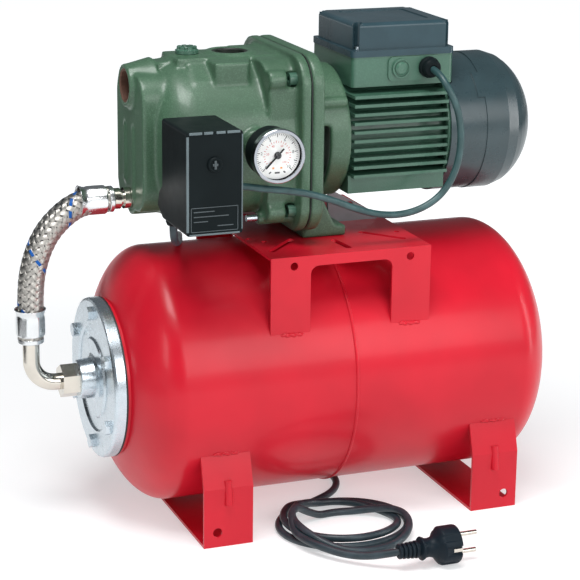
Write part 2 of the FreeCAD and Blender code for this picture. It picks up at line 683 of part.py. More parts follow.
def make_hose():
    union_long = "union_start - union_end"
    nut = hexagon("union_hexagon", "union_head", union_long, ("union_start", 0, "tank_height"), "-x")
    bore = cylinder("union_bore", "pipe_radius", "40", ("union_start + 5", 0, "tank_height"), "-x")
    keep(cut("elbow_nut", nut, bore))

    elbow = [
        ("neck_end + 8", 0, "tank_height"),
        ("elbow_x", 0, "tank_height"),
        ("elbow_x", 0, "ferrule_low + barb_long"),
    ]
    keep(tube("elbow_pipe", elbow, "pipe_radius", "pipe_bore"))

    profile = [
        ("0", "pipe_radius"),
        ("0", "ferrule_radius - 2"),
        ("2", "ferrule_radius"),
        ("9", "ferrule_radius"),
        ("10", "ferrule_radius - 1"),
        ("12", "ferrule_radius - 1"),
        ("13", "ferrule_radius"),
        ("ferrule_long - 1.5", "ferrule_radius"),
        ("ferrule_long", "ferrule_radius - 1"),
        ("ferrule_long", "hose_radius"),
        ("5", "hose_radius"),
        ("5", "pipe_radius"),
    ]
    low = turned("ferrule_lower", profile, ("elbow_x", 0, "ferrule_low"), "+z")
    high = turned("ferrule_upper", profile, ("ferrule_high + ferrule_long", 0, "hose_height"), "-x")
    keep(group("hose_ferrules", [low, high]))

    route = [
        ("elbow_x", 0, "ferrule_low + 5"),
        ("elbow_x", 0, "239"),
        ("-311.7", 0, "275"),
        ("-298", 0, "309.5"),
        ("-273.6", 0, "333"),
        ("-252", 0, "hose_height"),
        ("ferrule_high + ferrule_long - 5", 0, "hose_height"),
    ]
    keep(tube("braided_hose", route, "hose_radius", "pipe_radius"))

    nipple = [
        ("ferrule_high + ferrule_long - barb_long", "pipe_bore"),
        ("ferrule_high + ferrule_long - barb_long", "pipe_radius"),
        ("ferrule_high + ferrule_long", "pipe_radius"),
        ("ferrule_high + ferrule_long", "pipe_radius + 2.2"),
        ("nose_x - 12", "pipe_radius + 2.2"),
        ("nose_x - 12", "pipe_radius - 1.2"),
        ("nose_x - 8", "pipe_radius - 1.2"),
        ("nose_x - 8", "pipe_radius + 2.2"),
        ("nose_x - 0.5", "pipe_radius + 2.2"),
        ("nose_x - 0.5", "pipe_radius + 0.95"),
        ("barrel_end", "pipe_radius + 0.95"),
        ("barrel_end", "pipe_bore"),
    ]
    keep(turned("hose_nipple", nipple, (0, 0, "hose_height")))


# ---- pump ------------------------------------------------------------------------


def joint_plate(name, x, thick, shrink="0"):
    """A plate of the joint's rounded square outline."""
    half = f"joint_half - {shrink}"
    corners = rectangle(half, f"{shrink} - joint_rise", f"joint_rise - {shrink}")
    return padded(name, "YZ", corners, thick, (x, 0, "shaft_height"), "joint_corner")


def axis_cylinder(name, radius, start, end):
    """A cylinder on the pump's axis between two places along X."""
    return cylinder(name, radius, f"({end}) - ({start})", (start, 0, "shaft_height"), "+x")


def corner_holes(name, radius, start, length):
    holes = []
    for index, (side, up) in enumerate(((-1, -1), (-1, 1), (1, -1), (1, 1))):
        at = (start, f"{side} * corner_y", f"shaft_height + {up} * corner_z")
        holes.append(cylinder(f"{name}_{index}", radius, length, at, "+x"))
    return holes


def rounded_edge(steps):
    """Fractions along and across a quarter of a rounding, from its face to its side."""
    angles = [math.pi / 2 * step / steps for step in range(steps + 1)]
    return [(1 - math.cos(angle), 1 - math.sin(angle)) for angle in angles]


def make_pump_body():
    barrel_profile = [("barrel_end", "0")]
    for deep, wide in rounded_edge(7):
        corner_x = f"barrel_end + barrel_round * {deep:.4f}"
        barrel_profile.append((corner_x, f"barrel_radius - barrel_round * {wide:.4f}"))
    barrel_profile += [("joint_x - joint_thick", "barrel_radius"), ("joint_x - joint_thick", "0")]
    plate_x = "joint_x - joint_thick"
    plate_long = "joint_thick - gasket_thick / 2"
    nose_corners = rectangle("nose_half", "nose_low", "nose_low + nose_tall")
    shoulder = rectangle("barrel_radius - 5", "5 - barrel_radius", "barrel_radius + 3")
    pad_corners = [
        ("pad_left", "-pad_half"),
        ("plate_left", "-pad_half"),
        ("plate_left", "pad_half"),
        ("pad_left", "pad_half"),
    ]
    slope = [
        ("-pad_half", "pad_high - 4"),
        ("-pad_half - 24", "shaft_height + 66"),
        ("-pad_half - 46", "shaft_height + 38"),
        ("pad_half + 46", "shaft_height + 38"),
        ("pad_half + 24", "shaft_height + 66"),
        ("pad_half", "pad_high - 4"),
    ]
    web = [
        ("suction_x + 3", "suction_high"),
        ("suction_x + 3", "suction_high + 20"),
        ("pad_left + 2", "pad_high - 3"),
        ("pad_left + 2", "suction_high"),
    ]
    swell = [
        ("delivery_x - 34", "-pad_half - 28"),
        ("delivery_x + 2", "-pad_half - 28"),
        ("delivery_x + 12", "-pad_half + 2"),
        ("delivery_x - 34", "-pad_half + 2"),
    ]
    pad_base = "shaft_height + barrel_radius - 20"
    slope_long = f"{plate_x} - pad_left - 12"
    shoulder_start = (f"{plate_x} - 31", 0, "shaft_height")
    flare_start = ("suction_x + 4", 0, "suction_high")
    switch_face = ("switch_x", "-barrel_radius - 2", "switch_port")
    gauge_face = ("gauge_x", "-barrel_radius - 6", "gauge_high")
    pieces = [
        turned("casing_barrel", barrel_profile, (0, 0, "shaft_height")),
        joint_plate("casing_flange", plate_x, plate_long),
        padded("casing_shoulder", "YZ", shoulder, "31", shoulder_start, "joint_corner"),
        padded("casing_nose", "YZ", nose_corners, "34", ("nose_x", 0, 0), "nose_half * 0.6"),
        padded("casing_pad", "XY", pad_corners, f"pad_high - ({pad_base})", (0, 0, pad_base)),
        padded("casing_slope", "YZ", slope, slope_long, ("pad_left + 10", 0, 0)),
        padded("casing_web", "XZ", web, "26", (0, "13", 0)),
        padded("casing_swell", "XY", swell, "24", (0, 0, "pad_high - 25.5")),
        cylinder("delivery_ring", "delivery_boss", "30", ("delivery_x", 0, "delivery_high - 30")),
        cylinder("priming_boss", "plug_head + 2", "20", ("priming_x", 0, "pad_high - 19")),
        cylinder("vent_boss", "plug_head * 0.5", "20", ("priming_x - 16", 0, "pad_high - 20.5")),
        cylinder("suction_ring", "boss_radius", "32", ("suction_x", 0, "suction_high"), "+x"),
        cone("suction_flare", "boss_radius", "boss_radius + 6", "26", flare_start, "+x"),
        cylinder("hose_boss", "boss_radius * 0.8", "28", ("nose_x - 0.5", 0, "hose_height"), "+x"),
        cylinder("switch_boss", "2.2 * tapping_radius", "40", switch_face, "+y"),
        cylinder("gauge_boss", "2.1 * tapping_radius", "24", gauge_face, "+y"),
        cylinder("drain_boss", "7.5", "38", ("drain_x", "drain_y", "drain_high"), "+x"),
        block("nose_rib", ("nose_x - 2", "-16", "nose_low + 12"), ("nose_x + 4", "-9", "nose_low + 86")),
        block("nose_rib_far", ("nose_x - 2", "12", "nose_low + 26"), ("nose_x + 4", "19", "nose_low + 86")),
    ]
    pieces += corner_holes("corner_boss", "corner_boss", "joint_x - joint_thick - 31", "19")
    mouth = ("delivery_x", 0, "delivery_high - port_chamfer")
    switch_tap = ("switch_x", "-barrel_radius - 8", "switch_port")
    gauge_tap = ("gauge_x", "-barrel_radius - 8", "gauge_high")
    tools = [
        axis_cylinder("casing_chamber", "barrel_bore - 12", "barrel_end + 9", "joint_x + 5"),
        axis_cylinder("casing_wide_chamber", "barrel_bore", "barrel_end + 30", "joint_x + 5"),
        cylinder("suction_bore", "port_bore", "port_long + 13", ("suction_x - 1", 0, "suction_high"), "+x"),
        cylinder("delivery_bore", "port_bore", "40", ("delivery_x", 0, "delivery_high + 1"), "-z"),
        cone("delivery_mouth", "port_bore", "port_bore + port_chamfer", "port_chamfer", mouth),
        cylinder("priming_bore", "priming_hole", "40", ("priming_x", 0, "delivery_high + 5"), "-z"),
        cylinder("hose_bore", "pipe_radius + 1", "40", ("nose_x - 3", 0, "hose_height"), "+x"),
        cylinder("switch_bore", "tapping_radius", "60", switch_tap, "+y"),
        cylinder("gauge_bore", "tapping_radius", "40", gauge_tap, "+y"),
        cylinder("drain_bore", "2.8", "12", ("drain_x - 1", "drain_y", "drain_high"), "+x"),
    ]
    tools += corner_holes("casing_hole", "bolt_hole", "joint_x - joint_thick - 1", "20")
    tools += corner_holes("screw_pocket", "bolt_head + 0.5", "joint_x - joint_thick - 12", "12")
    keep(cut("pump_body", fuse("casing_solid", *pieces), *tools))


def make_casing_gasket():
    sheet = joint_plate("gasket_sheet", "joint_x - gasket_thick / 2", "gasket_thick", "1.2")
    hole = axis_cylinder("gasket_opening", "barrel_bore", "joint_x - 5", "joint_x + 5")
    keep(cut("casing_gasket", sheet, hole, *corner_holes("gasket_hole", "bolt_hole", "joint_x - 5", "10")))


def make_hydraulics():
    """The jet, the diffuser and the impeller, from the suction side to the shaft."""
    nozzle = [
        ("barrel_end + 9", "8"),
        ("barrel_end + 9", "22"),
        ("barrel_end + 12", "22"),
        ("barrel_end + 12", "13"),
        ("barrel_end + 34", "7"),
        ("barrel_end + 34", "4"),
        ("barrel_end + 12", "8"),
    ]
    venturi = [
        ("-154", "13"),
        ("-154", "16"),
        ("-104", "19"),
        ("-93", "19"),
        ("-93", "15"),
        ("-104", "14"),
        ("-140", "7"),
    ]
    centre = (0, 0, "shaft_height")
    keep(group("ejector", [turned("jet_nozzle", nozzle, centre), turned("venturi_tube", venturi, centre)]))

    cup = [
        ("-93", "15"),
        ("-93", "barrel_bore - 2"),
        ("-60", "barrel_bore - 2"),
        ("-60", "barrel_bore - 5"),
        ("-90", "barrel_bore - 5"),
        ("-90", "15"),
    ]
    diffuser = [turned("diffuser_cup", cup, centre)]
    for index, angle in enumerate(around(8)):
        vane = doc.addObject("Part::Box", f"diffuser_vane_{index}")
        bind(vane, Length="24", Width="2", Height="6")
        y, z = on_circle(angle, "(wheel_radius + 2)", "shaft_height")
        tilt = Rotation(Vector(1, 0, 0), math.degrees(angle) - 90)
        diffuser.append(place(vane, ("-91", y, z), tilt))
    keep(fuse("diffuser", *diffuser))

    wheel = [
        turned(
            "impeller_shrouds",
            [
                ("-87", "eye_radius"),
                ("-87", "wheel_radius"),
                ("-85", "wheel_radius"),
                ("-85", "eye_radius"),
            ],
            centre,
        ),
        turned(
            "impeller_hub",
            [
                ("-84", "shaft_radius"),
                ("-84", "10"),
                ("-79", "12"),
                ("-79", "wheel_radius"),
                ("-77", "wheel_radius"),
                ("-77", "12"),
                ("-73", "12"),
                ("-73", "shaft_radius"),
            ],
            centre,
        ),
    ]
    for index, angle in enumerate(around(6)):
        blade = doc.addObject("Part::Box", f"impeller_blade_{index}")
        bind(blade, Length="7", Width="wheel_radius - eye_radius", Height="2.4")
        y, z = on_circle(angle, "(eye_radius - 1)", "shaft_height")
        wheel.append(place(blade, ("-85.5", y, z), Rotation(Vector(1, 0, 0), math.degrees(angle) - 18)))
    keep(fuse("impeller", *wheel))

    head = [("-72.8", "shaft_radius"), ("-72.8", "10"), ("-66", "10"), ("-66", "seal_radius")]
    head += [("-57.2", "seal_radius"), ("-57.2", "shaft_radius")]
    keep(turned("seal_head", head, centre))
    seat = [("-57", "shaft_radius + 0.5"), ("-57", "seal_radius"), ("-47", "seal_radius + 3")]
    seat += [("-40", "seal_radius + 3"), ("-40", "shaft_radius + 0.5")]
    keep(turned("seal_seat", seat, centre))


def make_adapter():
    """The lantern between pump and motor, with the foot that the set stands on."""
    inner_x = "joint_x + gasket_thick / 2"
    back_x = "joint_x + adapter_thick"
    plate = joint_plate("adapter_flange", inner_x, "adapter_thick - gasket_thick / 2")
    neck = axis_cylinder("adapter_neck", "lantern_radius", back_x, "motor_start")
    stand = [
        (back_x + " - 8", "0"),
        ("stand_toe", "0"),
        ("stand_toe", "11"),
        ("stand_toe - 13", "13"),
        ("stand_toe - 26", "40"),
        (back_x + " - 8", "40"),
    ]
    foot = padded("adapter_stand", "XZ", stand, "2 * stand_half", (0, "stand_half", "deck_height"))
    rib_start = ("joint_x + adapter_thick - 1", "-lantern_radius + 8", "shaft_height + 40")
    screw_rib = cylinder("adapter_rib", "5.5", "36", rib_start, "+x")
    tools = [
        axis_cylinder("adapter_hollow", "lantern_bore", back_x, "race_front - 5"),
        axis_cylinder("adapter_mouth", "frame_bore", "race_front + 13", "motor_start + 5"),
        axis_cylinder("adapter_seal_seat", "seal_radius + 3", "joint_x - 5", "joint_x + 5"),
        axis_cylinder("adapter_shaft_hole", "seal_radius - 3", "joint_x", "motor_start"),
        axis_cylinder("adapter_race", "race_outer", "race_front", "motor_start + 5"),
        block(
            "adapter_window",
            (back_x + " + 1.5", "-lantern_radius - 9", "shaft_height - 52"),
            ("window_end", "lantern_radius + 9", "shaft_height + 16"),
        ),
    ]
    tools += corner_holes("adapter_tapping", "bolt_hole", "joint_x - 1", "11")
    for index, side in enumerate((-1, 1)):
        at = ("stand_bolt_x", f"{side} * stand_bolt_y", "deck_height - 5")
        tools.append(cylinder(f"stand_tapping_{index}", "bolt_hole", "25", at))
    keep(cut("motor_adapter", fuse("adapter_solid", plate, neck, foot, screw_rib), *tools))


def make_screws():
    screws = []
    places = ((-1, -1), (-1, 1), (1, -1), (1, 1))
    for index, (side, up) in enumerate(places):
        y = f"{side} * corner_y"
        z = f"shaft_height + {up} * corner_z"
        head = cylinder(f"cap_head_{index}", "bolt_head - 1", "8", ("joint_x - joint_thick", y, z), "-x")
        seat = ("joint_x - joint_thick", y, z)
        shank = cylinder(f"cap_shank_{index}", "bolt_shank", "joint_thick + 9", seat, "+x")
        socket = hexagon(f"cap_socket_{index}", "3.4", "5", ("joint_x - joint_thick - 8.5", y, z), "+x")
        screws.append(cut(f"cap_screw_{index}", fuse(f"cap_blank_{index}", head, shank), socket))
    keep(group("casing_screws", screws))
    bolts = []
    for index, side in enumerate((-1, 1)):
        y = f"{side} * stand_bolt_y"
        seat = ("stand_bolt_x", y, "deck_height - strip_thick")
        head = hexagon(f"stand_head_{index}", "bolt_head", "head_high", seat, "-z")
        shank = cylinder(f"stand_shank_{index}", "bolt_shank", "20", seat)
        bolts.append(fuse(f"stand_bolt_{index}", head, shank))
    cap = cylinder("drain_cap", "3.3", "11", ("drain_x - 11", "drain_y", "drain_high"), "+x")
    stem = cylinder("drain_stem", "2.75", "11", ("drain_x - 1", "drain_y", "drain_high"), "+x")
    keep(group("pump_fasteners", [*bolts, fuse("drain_plug", cap, stem)]))
    knob = cylinder("plug_knob", "plug_head", "7", ("priming_x", 0, "plug_top - 7"))
    shank = cylinder("plug_thread", "plug_shank", "14", ("priming_x", 0, "plug_top - 21"))
    driver = block(
        "plug_slot",
        ("priming_x - 20", "-1.2", "plug_top - 2.5"),
        ("priming_x + 20", "1.2", "plug_top + 2"),
    )
    keep(cut("priming_plug", fuse("plug_blank", knob, shank), driver))


def make_stay():
    """The small steel stay that rises from the bracket under the motor."""
    corners = [("14", "0"), ("72", "0"), ("66", "8"), ("34", "26.5"), ("22", "33"), ("14", "33")]
    plate = padded("stay_plate", "XZ", corners, "strip_thick", (0, "6", "deck_height"))
    hole = cylinder("stay_hole", "tab_hole", "20", ("39", "10", "deck_height + 17.5"), "-y")
    keep(cut("motor_stay", plate, hole))


# ---- motor -----------------------------------------------------------------------


def make_motor_frame():
    pieces = [axis_cylinder("frame_barrel", "frame_radius", "motor_start", "motor_end")]
    for index in range(10):
        low = f"fin_first + {index} * fin_pitch - fin_thick / 2"
        start = ("motor_start + 3", "-fin_half", low)
        pieces.append(block(f"fin_{index}", start, ("motor_end", "fin_half", f"{low} + fin_thick")))
    belly = rectangle("belly_half", "belly_low", "fin_first")
    pieces.append(padded("frame_belly", "YZ", belly, "motor_end - motor_start", ("motor_start", 0, 0)))
    box_corners = [
        ("box_left", "-box_half"),
        ("box_right", "-box_half"),
        ("box_right", "box_half"),
        ("box_left", "box_half"),
    ]
    pieces.append(padded("box_body", "XY", box_corners, "box_high - box_low", (0, 0, "box_low"), "5"))
    entry = [
        ("knockout_x - 14", "0"),
        ("gland_x + 15", "0"),
        ("gland_x + 15", "25"),
        ("knockout_x - 14", "25"),
    ]
    pieces.append(padded("entry_pad", "XZ", entry, "6", (0, "4 - box_half", "box_low + 5"), "6"))
    hollow = [
        ("box_left + box_wall", "box_wall - box_half"),
        ("box_right - box_wall", "box_wall - box_half"),
        ("box_right - box_wall", "box_half - box_wall"),
        ("box_left + box_wall", "box_half - box_wall"),
    ]
    tools = [
        axis_cylinder("frame_opening", "frame_bore", "motor_start - 5", "motor_end + 5"),
        padded("box_hollow", "XY", hollow, "40", (0, 0, "shaft_height + frame_radius + 1"), "3"),
        cylinder("gland_entry", "gland_radius - 3.5", "20", ("gland_x", "-box_half - 8", "gland_high"), "+y"),
    ]
    keep(cut("motor_housing", fuse("frame_solid", *pieces), *tools))


def make_motor_inside():
    core = axis_cylinder("stator_ring", "frame_bore", "core_left", "core_right")
    bore = axis_cylinder("stator_opening", "stator_bore", "core_left - 5", "core_right + 5")
    slots = []
    for index, angle in enumerate(around(24)):
        y, z = on_circle(angle, "(stator_bore + 4)", "shaft_height")
        at = ("core_left", y, z)
        slots.append(cylinder(f"stator_slot_{index}", "2.4", "core_right - core_left", at, "+x"))
    keep(cut("stator_core", core, bore, *slots))
    coils = []
    for name, x, along in (("front", "core_left", "-x"), ("rear", "core_right", "+x")):
        ring = [
            ("0.1", "stator_bore + 2"),
            ("0.1", "frame_bore - 4"),
            ("10", "frame_bore - 5"),
            ("13", "frame_bore - 9"),
            ("13", "stator_bore + 5"),
        ]
        coils.append(turned(f"winding_{name}", ring, (x, 0, "shaft_height"), along))
    keep(group("stator_windings", coils))
    bars = [
        ("core_left - 4", "spindle_radius"),
        ("core_left - 4", "rotor_radius - 3"),
        ("core_left", "rotor_radius - 3"),
        ("core_left", "rotor_radius"),
        ("core_right", "rotor_radius"),
        ("core_right", "rotor_radius - 3"),
        ("core_right + 4", "rotor_radius - 3"),
        ("core_right + 4", "spindle_radius"),
    ]
    keep(turned("rotor_core", bars, (0, 0, "shaft_height")))
    shaft = [
        ("-84", "0"),
        ("-84", "shaft_radius"),
        ("race_front - 6", "shaft_radius"),
        ("race_front - 6", "spindle_radius"),
        ("fan_x + 16", "spindle_radius"),
        ("fan_x + 16", "0"),
    ]
    keep(turned("rotor_shaft", shaft, (0, 0, "shaft_height")))
    outer, inner, balls = [], [], []
    for name, x in (("front", "race_front"), ("rear", "race_rear")):
        at = (x, 0, "shaft_height")
        outer.append(turned(f"outer_race_{name}", ring_profile("race_outer_in", "race_outer"), at))
        inner.append(turned(f"inner_race_{name}", ring_profile("spindle_radius", "race_inner_out"), at))
        for index, angle in enumerate(around(8)):
            ball = doc.addObject("Part::Sphere", f"ball_{name}_{index}")
            bind(ball, Radius="ball_radius")
            y, z = on_circle(angle, "ball_circle", "shaft_height")
            balls.append(place(ball, (f"{x} + race_width / 2", y, z)))
    keep(group("bearing_outer_races", outer))
    keep(group("bearing_inner_races", inner))
    keep(group("bearing_balls", balls))


def ring_profile(inside, outside):
    return [("0", inside), ("0", outside), ("race_width", outside), ("race_width", inside)]


def make_motor_rear():
    shield = [
        ("race_rear", "race_outer"),
        ("race_rear", "cover_radius - cover_wall - 1.6"),
        ("race_rear + 6", "cover_radius - cover_wall - 1.6"),
        ("race_rear + 8", "race_outer + 8"),
        ("race_rear + 14", "race_outer + 6"),
        ("race_rear + 14", "spindle_radius + 2"),
        ("race_rear + race_width", "spindle_radius + 2"),
        ("race_rear + race_width", "race_outer"),
    ]
    disc = turned("shield_disc", shield, (0, 0, "shaft_height"))
    box_gap = block(
        "shield_box_gap",
        ("race_rear - 5", "-box_half - 1", "box_low - 1"),
        ("box_right + 5", "box_half + 1", "box_high"),
    )
    keep(cut("rear_end_shield", disc, box_gap))

    disc = [("fan_x", "spindle_radius"), ("fan_x", "fan_radius"), ("fan_x + 2.5", "fan_radius")]
    disc += [("fan_x + 2.5", "14"), ("fan_x + 18", "14"), ("fan_x + 18", "spindle_radius")]
    fan = [turned("fan_disc", disc, (0, 0, "shaft_height"))]
    for index, angle in enumerate(around(7)):
        blade = doc.addObject("Part::Box", f"fan_blade_{index}")
        bind(blade, Length="26", Width="fan_radius - 18", Height="2.5")
        y, z = on_circle(angle, "16", "shaft_height")
        fan.append(place(blade, ("fan_x + 2", y, z), Rotation(Vector(1, 0, 0), math.degrees(angle))))
    keep(fuse("cooling_fan", *fan))

    def shell(inset):
        """The cover's profile: a straight barrel and a rounded end with a flat in its middle."""
        corners = [("cover_left", "0"), ("cover_left", f"cover_radius - {inset}")]
        for step in range(11):
            across = 1 - step / 10
            deep = 1 - (1 - across**1.6) ** (1 / 1.6)
            end = f"cover_right - {inset} - cover_dome * {deep:.4f}"
            corners.append((end, f"cover_flat + (cover_radius - {inset} - cover_flat) * {across:.4f}"))
        return corners + [(f"cover_right - {inset}", "0")]

    def step_ring(name, start, end, sweep=360):
        """A ring that takes the front of the cover down by one step; sweep starts at the notch."""
        ring = cylinder(name, "cover_radius + 5", f"({end}) - ({start})", (start, 0, "shaft_height"), "+x")
        ring.Angle = sweep
        up, out = math.sin(NOTCH_LOW), math.cos(NOTCH_LOW)
        turn = Rotation(Vector(0, -out, up), Vector(0, -up, -out), Vector(1, 0, 0), "XYZ")
        ring.Placement.Rotation = turn
        core = axis_cylinder(name + "_core", "cover_radius - cover_step", "cover_left - 5", "cover_right")
        return cut(name + "_cut", ring, core)

    solid = turned("cover_outer", shell("0"), (0, 0, "shaft_height"))
    tools = [
        turned("cover_inner", shell("cover_wall"), ("-0.01", 0, "shaft_height")),
        step_ring("cover_front_step", "cover_left - 1", "cover_notch"),
        step_ring("cover_late_step", "cover_notch - 0.1", "cover_seam", 360 - NOTCH_SWEEP),
    ]
    for index, angle in enumerate(around(20)):
        for ring, long in (("14", 15), ("33", 13)):
            vent = doc.addObject("Part::Box", f"vent_{index}_{ring}")
            bind(vent, Length="24", Width=long, Height="4")
            spread = Vector(0, float(ring), -2)
            start = Rotation(Vector(1, 0, 0), math.degrees(angle)).multVec(spread)
            at = ("cover_right - 16", f"{start.y:.4f}", f"shaft_height + {start.z:.4f}")
            tools.append(place(vent, at, Rotation(Vector(1, 0, 0), math.degrees(angle))))
    top_gap = block(
        "cover_box_gap",
        ("cover_left - 1", "-box_half - 1", "box_low - 1"),
        ("box_right + 0.5", "box_half + 1", "lid_high"),
    )
    tools.append(top_gap)
    keep(cut("fan_cover", solid, *tools))


def make_terminal_box():
    def plan(inset):
        left, right = f"box_left + ({inset})", f"box_right - ({inset})"
        front, back = f"({inset}) - box_half", f"box_half - ({inset})"
        return [(left, front), (right, front), (right, back), (left, back)]

    rim = padded("lid_rim_plate", "XY", plan("-1"), "lid_rim", (0, 0, "box_high"), "6")
    crown = padded("lid_crown", "XY", plan("lid_step - 1"), "lid_high - box_high", (0, 0, "box_high"), "6")
    doc.recompute()
    body_tip = crown.Tip
    soften = crown.newObject("PartDesign::Fillet", "lid_crown_edges")
    soften.Base = (body_tip, top_edges(body_tip.Shape))
    bind(soften, Radius="lid_edge")
    panel = padded("lid_panel", "XY", plan("lid_step + 16"), "5", (0, 0, "lid_high - 0.8"), "4")
    hollow_high = "lid_high - box_high - 3"
    hollow = padded("lid_hollow", "XY", plan("lid_step + 2"), hollow_high, (0, 0, "box_high - 0.01"), "4")
    posts, screws, pilot = [], [], []
    places = (("box_left", 1, -1), ("box_left", 1, 1), ("box_right", -1, -1), ("box_right", -1, 1))
    for index, (edge, inward, side) in enumerate(places):
        x, y = f"{edge} + {inward} * lid_post", f"{side} * (box_half - lid_post)"
        posts.append(cylinder(f"lid_post_{index}", "6", "lid_high - box_high - 1", (x, y, "box_high")))
        pilot.append(cylinder(f"lid_pilot_{index}", "2.1", "60", (x, y, "box_high - 1")))
        pilot.append(cylinder(f"lid_sink_{index}", "channel_half", "40", (x, y, "screw_seat")))
        heading = math.atan2(inward, side)
        channel = doc.addObject("Part::Box", f"lid_channel_{index}")
        bind(channel, Length="2 * channel_half", Width="16", Height="40")
        start_x = f"{x} - channel_half * {math.cos(heading):.5f}"
        start_y = f"{y} - channel_half * {math.sin(heading):.5f}"
        turn = Rotation(Vector(0, 0, 1), math.degrees(heading))
        place(channel, (start_x, start_y, "screw_seat"), turn)
        pilot.append(channel)
        head = cylinder(f"lid_head_{index}", "channel_half - 0.3", "3", (x, y, "screw_seat"))
        shank = cylinder(f"lid_shank_{index}", "2", "screw_seat - box_high", (x, y, "box_high + 0.2"))
        screws.append(fuse(f"lid_screw_{index}", head, shank))
    shell = cut("lid_shell", fuse("lid_solid", rim, crown), hollow)
    keep(cut("terminal_lid", fuse("lid_with_posts", shell, *posts), panel, *pilot))
    keep(group("lid_screws", screws))

    floor = "shaft_height + frame_radius + 1"
    base = block("terminal_base", ("45", "-26", floor), ("78", "-6", f"{floor} + 12"))
    studs = []
    for index in range(4):
        at = (f"{49 + 8 * index}", "-16", f"{floor} + 11")
        studs.append(cylinder(f"terminal_stud_{index}", "2", "9", at))
    keep(fuse("terminal_block", base, *studs))
    keep(cylinder("run_capacitor", "15", "72", ("34", "25", f"{floor} + 17"), "+x"))
    blank = [
        ("0", "0"),
        ("0", "10"),
        ("2.2", "10"),
        ("2.2", "8.6"),
        ("1.2", "8"),
        ("1.2", "7.2"),
        ("2.6", "6.8"),
        ("3.8", "5"),
        ("4.2", "0"),
    ]
    keep(turned("blanking_plug", blank, ("knockout_x", "-box_half - 2", "gland_high"), "-y"))


def gland(name, at, along, radius, bore, reach="13.5"):
    """A cable gland: thread, collar and domed nut, bored for its cord."""
    profile = [
        ("-7", bore),
        ("-7", f"{radius} * {THREAD}"),
        ("0", f"{radius} * {THREAD}"),
        ("0", radius),
        (f"{reach} * 0.37", radius),
        (f"{reach} * 0.42", f"{radius} * 0.92"),
        (f"{reach} * 0.8", f"{radius} * 0.86"),
        (f"{reach} * 0.93", f"{radius} * 0.76"),
        (reach, f"{radius} * 0.62"),
        (reach, bore),
    ]
    return turned(name, profile, at, along)


# ---- pressure switch ---------------------------------------------------------------


